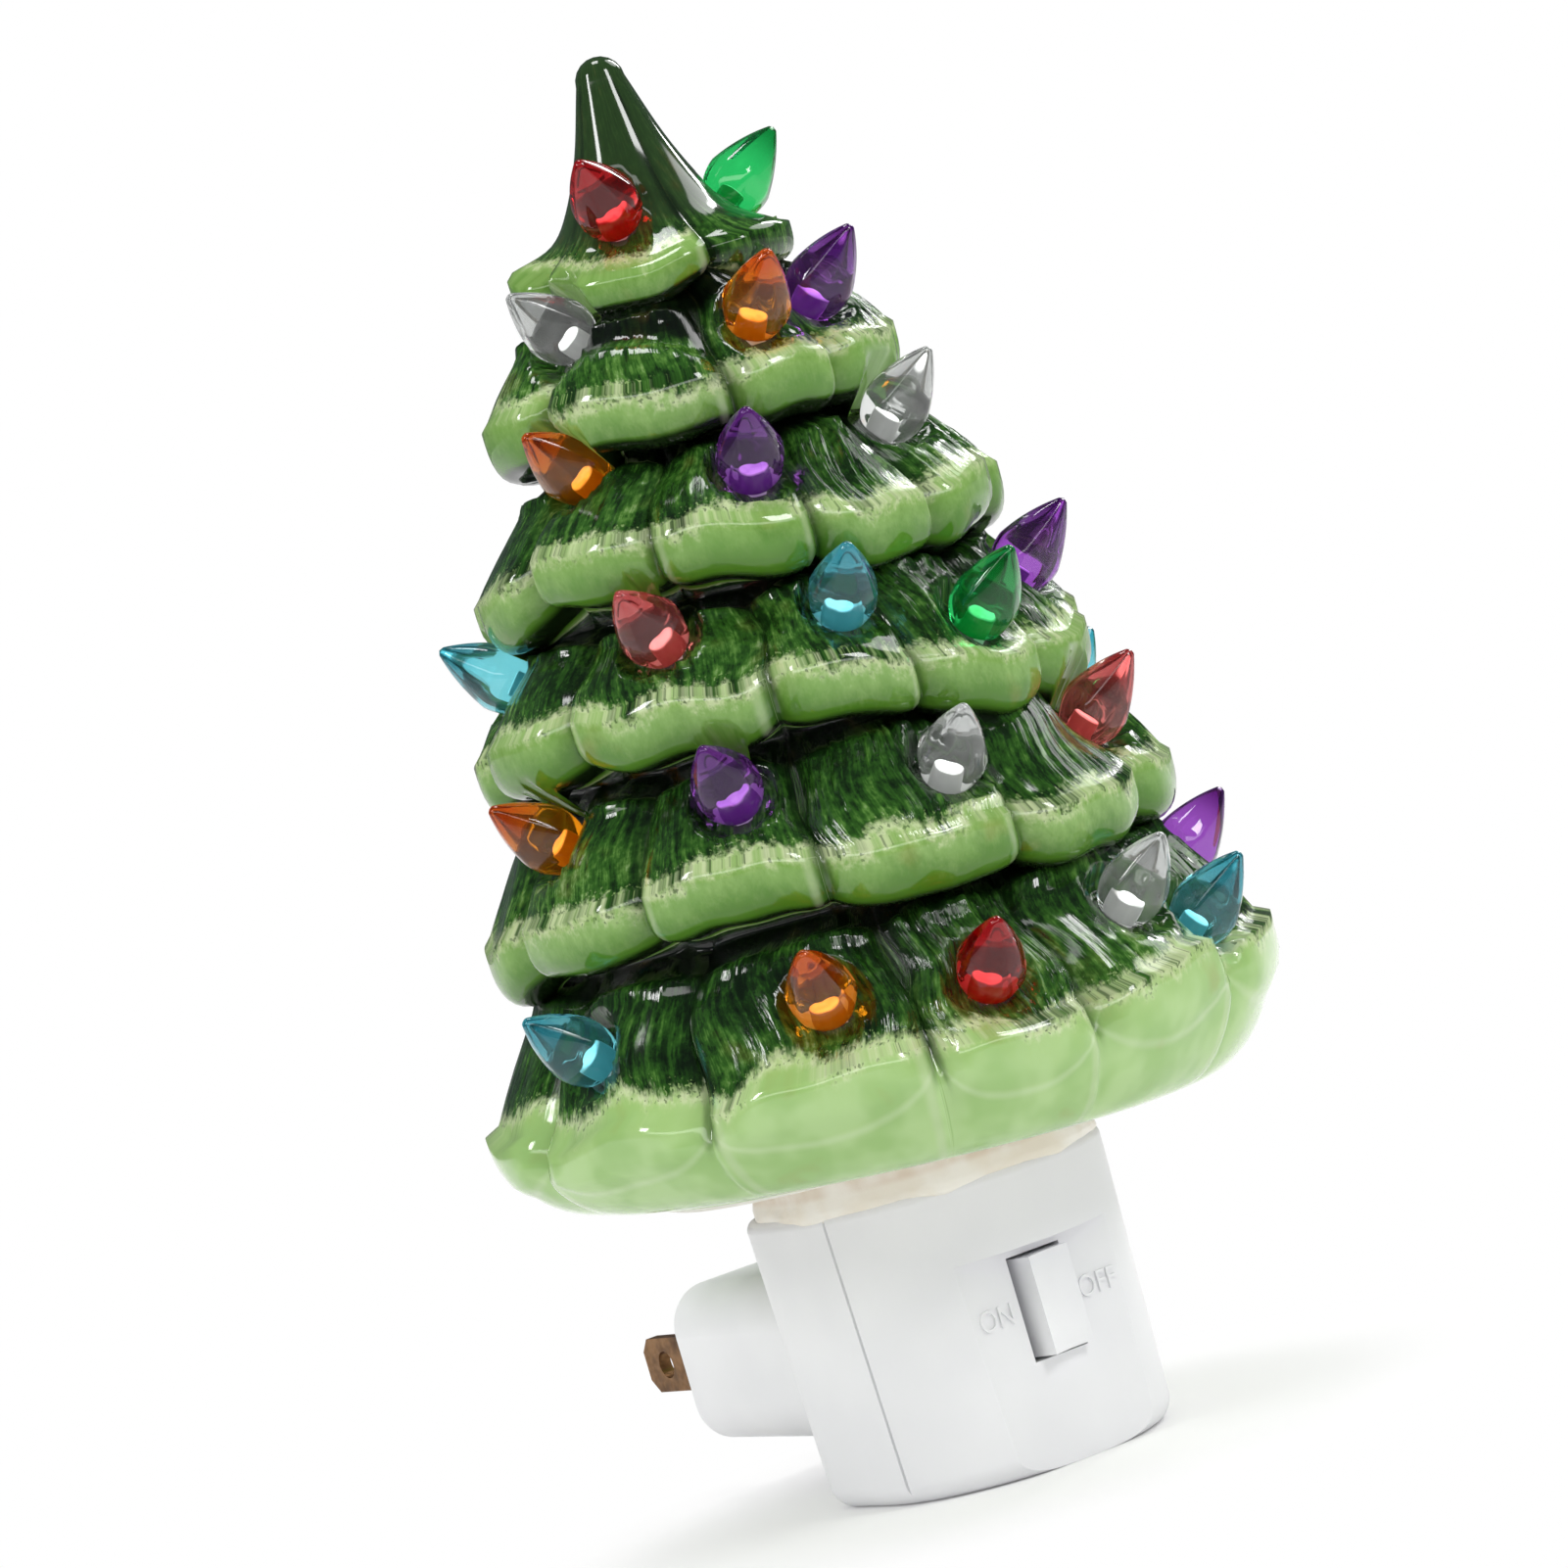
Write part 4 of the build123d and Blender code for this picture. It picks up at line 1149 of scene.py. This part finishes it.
def soft_flat(place):
    """Factor that draws a point of a bulb's body in towards the flat that it lies on."""
    half = math.pi / bulb_facets
    turn = math.atan2(place.y, place.x) % (2 * half) - half
    height = place.z / bulb_height
    fade = bulb_facet_share * smooth(*facet_start_range, height) * (1 - smooth(*facet_end_range, height))
    return 1 + (math.cos(half) / math.cos(turn) - 1) * fade


def bulb_piece(name, seat, materials):
    """Teardrop bulb with soft flats, standing on its peg."""
    origin, axis = seat
    bm, layer = spun(bulb_outline(), bulb_segments)
    rise = bm.verts.layers.float.new("rise")
    gather = bm.verts.layers.float.new("gather")
    for vert in bm.verts:
        vert[rise] = vert.co.z / bulb_height
        vert[gather] = light_gathered(vert[layer])
        if vert[layer] >= peg_points:
            narrowing = soft_flat(vert.co)
            vert.co.x *= narrowing
            vert.co.y *= narrowing
    turn = axis.to_track_quat("Z", "Y").to_matrix().to_4x4()
    bmesh.ops.transform(bm, matrix=Matrix.Translation(origin) @ turn, verts=bm.verts)
    for face in bm.faces:
        face.material_index = int(all(vert[layer] < peg_points for vert in face.verts))
    colour = name.split("_")[-1]
    glass, peg = materials[colour]
    piece = piece_from(bm, name.replace("bulb_", "peg_bulb_"), glass, stands_for=(name,))
    piece.data.materials.append(peg)
    return piece


# Base

def bead_radius(turn):
    """Outline of the glue: round in front, square with round corners behind."""
    x, y = math.sin(turn), -math.cos(turn)
    if y <= 0:
        return bead_half_width
    power = bead_squareness
    return ((abs(x) / bead_half_width) ** power + (y / bead_half_depth) ** power) ** (-1 / power)


def bead_piece(material):
    """Glue squeezed out between the base and the tree, with a wavy lower lip."""
    bm = bmesh.new()
    run = bm.verts.layers.float.new("run")
    thickness = tree_foot.z - base_high.z
    bmesh.ops.create_circle(bm, segments=bead_segments, radius=1.0)
    edges = bm.edges[:]
    verts = bm.verts[:]
    for number, (out, rise, stain) in enumerate(bead_loops):
        if number:
            made = bmesh.ops.extrude_edge_only(bm, edges=edges)["geom"]
            edges = [item for item in made if isinstance(item, bmesh.types.BMEdge)]
            verts = [item for item in made if isinstance(item, bmesh.types.BMVert)]
        for vert in verts:
            turn = math.atan2(vert.co.x, -vert.co.y)
            wave = round_noise(turn, bead_waves, bead_wave_seed)
            ripple = round_noise(turn, bead_ripples, number * bead_ripple_seed)
            radius = bead_radius(turn) + (out + bead_wave * wave + bead_ripple * ripple) * mm
            lip = rise if rise > 0 else rise * (1 + lip_wave * wave)
            vert.co = around(radius, turn, thickness * lip)
            vert[run] = stain
    bmesh.ops.translate(bm, verts=bm.verts, vec=(axis_x, axis_y - bead_centre, base_high.z))
    bmesh.ops.recalc_face_normals(bm, faces=bm.faces)
    return piece_from(bm, "glue_bead", material, stands_for=("adhesive_bead",))


def letters(word, centre, material):
    """Raised word on the switch panel."""
    curve = bpy.data.curves.new(word, "FONT")
    curve.body = word
    curve.align_x = "CENTER"
    curve.align_y = "CENTER"
    curve.extrude = 1.0
    text = bpy.data.objects.new(word, curve)
    bpy.context.scene.collection.objects.link(text)
    bpy.context.view_layer.update()
    mesh = bpy.data.meshes.new_from_object(text.evaluated_get(bpy.context.evaluated_depsgraph_get()))
    bpy.data.objects.remove(text)
    tall = max(vert.co.y for vert in mesh.vertices) - min(vert.co.y for vert in mesh.vertices)
    size = letter_height / tall
    scale = Matrix.Diagonal((size * letter_narrowness, size, letter_raise, 1))
    mesh.transform(Matrix.Translation(centre) @ Matrix.Rotation(math.pi / 2, 4, "X") @ scale)
    bm = bmesh.new()
    bm.from_mesh(mesh)
    bpy.data.meshes.remove(mesh)
    piece = piece_from(bm, "switch_mark_" + word.lower(), material)
    piece.data.shade_flat()
    return piece


def dress(names, material):
    """Give CAD pieces a finish of their own."""
    for name in names:
        mesh = nodes[name].data
        mesh.materials.clear()
        mesh.materials.append(material)


# Stage

def camera_view():
    """Camera at the photo's place, rolled as the photo is."""
    data = bpy.data.cameras.new("photo_camera")
    data.lens = camera_lens
    data.sensor_width = camera_sensor
    data.clip_start = camera_near
    camera = bpy.data.objects.new("photo_camera", data)
    bpy.context.scene.collection.objects.link(camera)
    across = Vector((math.cos(camera_azimuth), math.sin(camera_azimuth), 0))
    back = Vector((math.sin(camera_azimuth) * math.cos(camera_elevation),
                   -math.cos(camera_azimuth) * math.cos(camera_elevation), math.sin(camera_elevation)))
    target = Vector((axis_x, axis_y, floor_level + aim_height)) + across * aim_aside
    turn = (-back).to_track_quat("-Z", "Y").to_matrix().to_4x4()
    camera.matrix_world = (Matrix.Translation(target + back * camera_distance) @ turn
                           @ Matrix.Rotation(-camera_roll, 4, "Z"))
    bpy.context.scene.camera = camera


def soft_light(name, place, width, height, power):
    """Soft box aimed at the middle of the tree."""
    data = bpy.data.lights.new(name, "AREA")
    data.shape = "RECTANGLE"
    data.size = width
    data.size_y = height
    data.energy = power
    light = bpy.data.objects.new(name, data)
    target = Vector((axis_x, axis_y, floor_level + aim_height))
    light.location = target + Vector(place)
    light.rotation_euler = (-Vector(place)).to_track_quat("-Z", "Y").to_euler()
    bpy.context.scene.collection.objects.link(light)


def seen_directly(tree):
    """1 where a camera looks straight at the surroundings, or through clear plastic."""
    path = add_node(tree, "ShaderNodeLightPath")
    return maths(tree, "MAXIMUM", path.outputs["Is Camera Ray"], path.outputs["Is Transmission Ray"])


def nearness(tree, way, direction):
    """How close a ray's way comes to a direction."""
    node = add_node(tree, "ShaderNodeVectorMath", {"operation": "DOT_PRODUCT"}, in0=way, in1=direction)
    return node.outputs["Value"]


def room_glow(tree):
    """What the glaze reflects: a room bright below and dark above, with its windows."""
    way = add_node(tree, "ShaderNodeTexCoord").outputs["Generated"]
    up = add_node(tree, "ShaderNodeSeparateXYZ", in0=way).outputs["Z"]
    room = mixed(tree, spread(tree, up, *room_horizon), room_below, room_above)
    row = times(tree, spread(tree, up, *row_foot), less(tree, spread(tree, up, *row_top)))
    front = (math.sin(camera_azimuth), -math.cos(camera_azimuth), 0)
    row = times(tree, row, spread(tree, nearness(tree, way, front), *row_side))
    window = spread(tree, nearness(tree, way, side_window), *side_window_edge)
    return mixed(tree, maths(tree, "MAXIMUM", row, window), room, window_glow)


def surroundings():
    """White sweep and an even soft light, with a room for reflections."""
    world = bpy.data.worlds.new("studio")
    bpy.context.scene.world = world
    world.use_nodes = True
    tree = world.node_tree
    glossy = add_node(tree, "ShaderNodeLightPath").outputs["Is Glossy Ray"]
    colour = mixed(tree, glossy, even_light, room_glow(tree))
    colour = mixed(tree, seen_directly(tree), colour, (1, 1, 1, 1))
    tree.links.new(colour, tree.nodes["Background"].inputs["Color"])


def floor_piece():
    """White floor that fades into the surroundings and keeps the shade round the base."""
    bm = bmesh.new()
    bmesh.ops.create_grid(bm, x_segments=1, y_segments=1, size=floor_half_width)
    bmesh.ops.translate(bm, verts=bm.verts, vec=(axis_x, axis_y, floor_level))
    mesh = bpy.data.meshes.new("floor")
    bm.to_mesh(mesh)
    bm.free()
    material, tree, shader = new_material("white_sweep")
    shader.inputs["Base Color"].default_value = linear(238, 238, 238)
    shader.inputs["Roughness"].default_value = 0.9
    shader.inputs["Specular IOR Level"].default_value = 0.0
    glow = add_node(tree, "ShaderNodeEmission", Color=(1, 1, 1, 1), Strength=1.0)
    away = add_node(tree, "ShaderNodeVectorMath", {"operation": "DISTANCE"}, in0=object_place(tree),
                    in1=(axis_x, axis_y, floor_level))
    bright = spread(tree, away.outputs["Value"], *shade_reach, shade_glow, 1.0)
    share = times(tree, seen_directly(tree), bright)
    blend = add_node(tree, "ShaderNodeMixShader", in0=share, in1=shader.outputs[0], in2=glow.outputs[0])
    tree.links.new(blend.outputs[0], tree.nodes["Material Output"].inputs["Surface"])
    mesh.materials.append(material)
    floor = bpy.data.objects.new("floor", mesh)
    bpy.context.scene.collection.objects.link(floor)


# Build

bulb_colours = {
    "red": ((222, 26, 30), (176, 8, 14)),
    "orange": ((250, 158, 26), (226, 84, 10)),
    "purple": ((162, 86, 200), (98, 28, 124)),
    "teal": ((128, 220, 230), (56, 172, 192)),
    "green": ((46, 206, 108), (10, 140, 62)),
    "pink": ((242, 128, 124), (222, 88, 88)),
    "clear": ((246, 248, 246), (236, 240, 238)),
}
bulb_finishes = {colour: (bulb_material(colour, body, tip), peg_material(colour, body))
                 for colour, (body, tip) in bulb_colours.items()}
white = plastic_material("white_plastic", (236, 236, 238), (230, 230, 233))
rocker_white = plastic_material("rocker_plastic", (238, 238, 240), (232, 232, 236), 0.3)

seats = bulb_seats()
tree_piece(seats, glaze_material())
for bulb_name, bulb_seat in seats.items():
    bulb_piece(bulb_name, bulb_seat, bulb_finishes)
bead_piece(adhesive_material())

switch_level = (rocker_low.z + rocker_high.z) / 2
letters("ON", (axis_x - letter_offset, panel_plane, switch_level), white)
letters("OFF", (axis_x + letter_offset, panel_plane, switch_level), white)

dress(["front_housing", "rear_housing"], white)
dress(["switch_rocker"], rocker_white)
dress(["blade_left", "blade_right"], metal_material("blade_brass", (150, 112, 74), (92, 66, 44), 0.38))
strip_brass = metal_material("strip_brass", (196, 164, 96), (168, 132, 72), 0.35)
dress(["neutral_strip", "live_strip", "switch_terminal", "tilting_contact", "centre_contact",
       "socket_shell"], strip_brass)
dress(["switch_spring"], metal_material("spring_steel", (170, 172, 176), (140, 142, 146), 0.3))
holder_plastic = plastic_material("holder_plastic", (40, 38, 36), (30, 28, 27), 0.45)
dress(["lamp_holder", "switch_plunger"], holder_plastic)
dress(["lamp_insulator"], plastic_material("black_insulator", (24, 24, 26), (16, 16, 18), 0.25))
dress(["lamp_cap"], metal_material("nickel_cap", (206, 204, 198), (180, 178, 172), 0.25))
dress(["lamp_tip"], metal_material("solder", (178, 180, 184), (150, 152, 156), 0.45))
dress(["lamp_glass", "lamp_stem"], glass_material("lamp_glass"))
dress(["filament"], metal_material("tungsten", (120, 120, 124), (96, 96, 100), 0.5))

floor_piece()
surroundings()
for box_name, box in soft_boxes.items():
    soft_light(box_name, *box)
bpy.context.scene.view_settings.view_transform = "Standard"
camera_view()
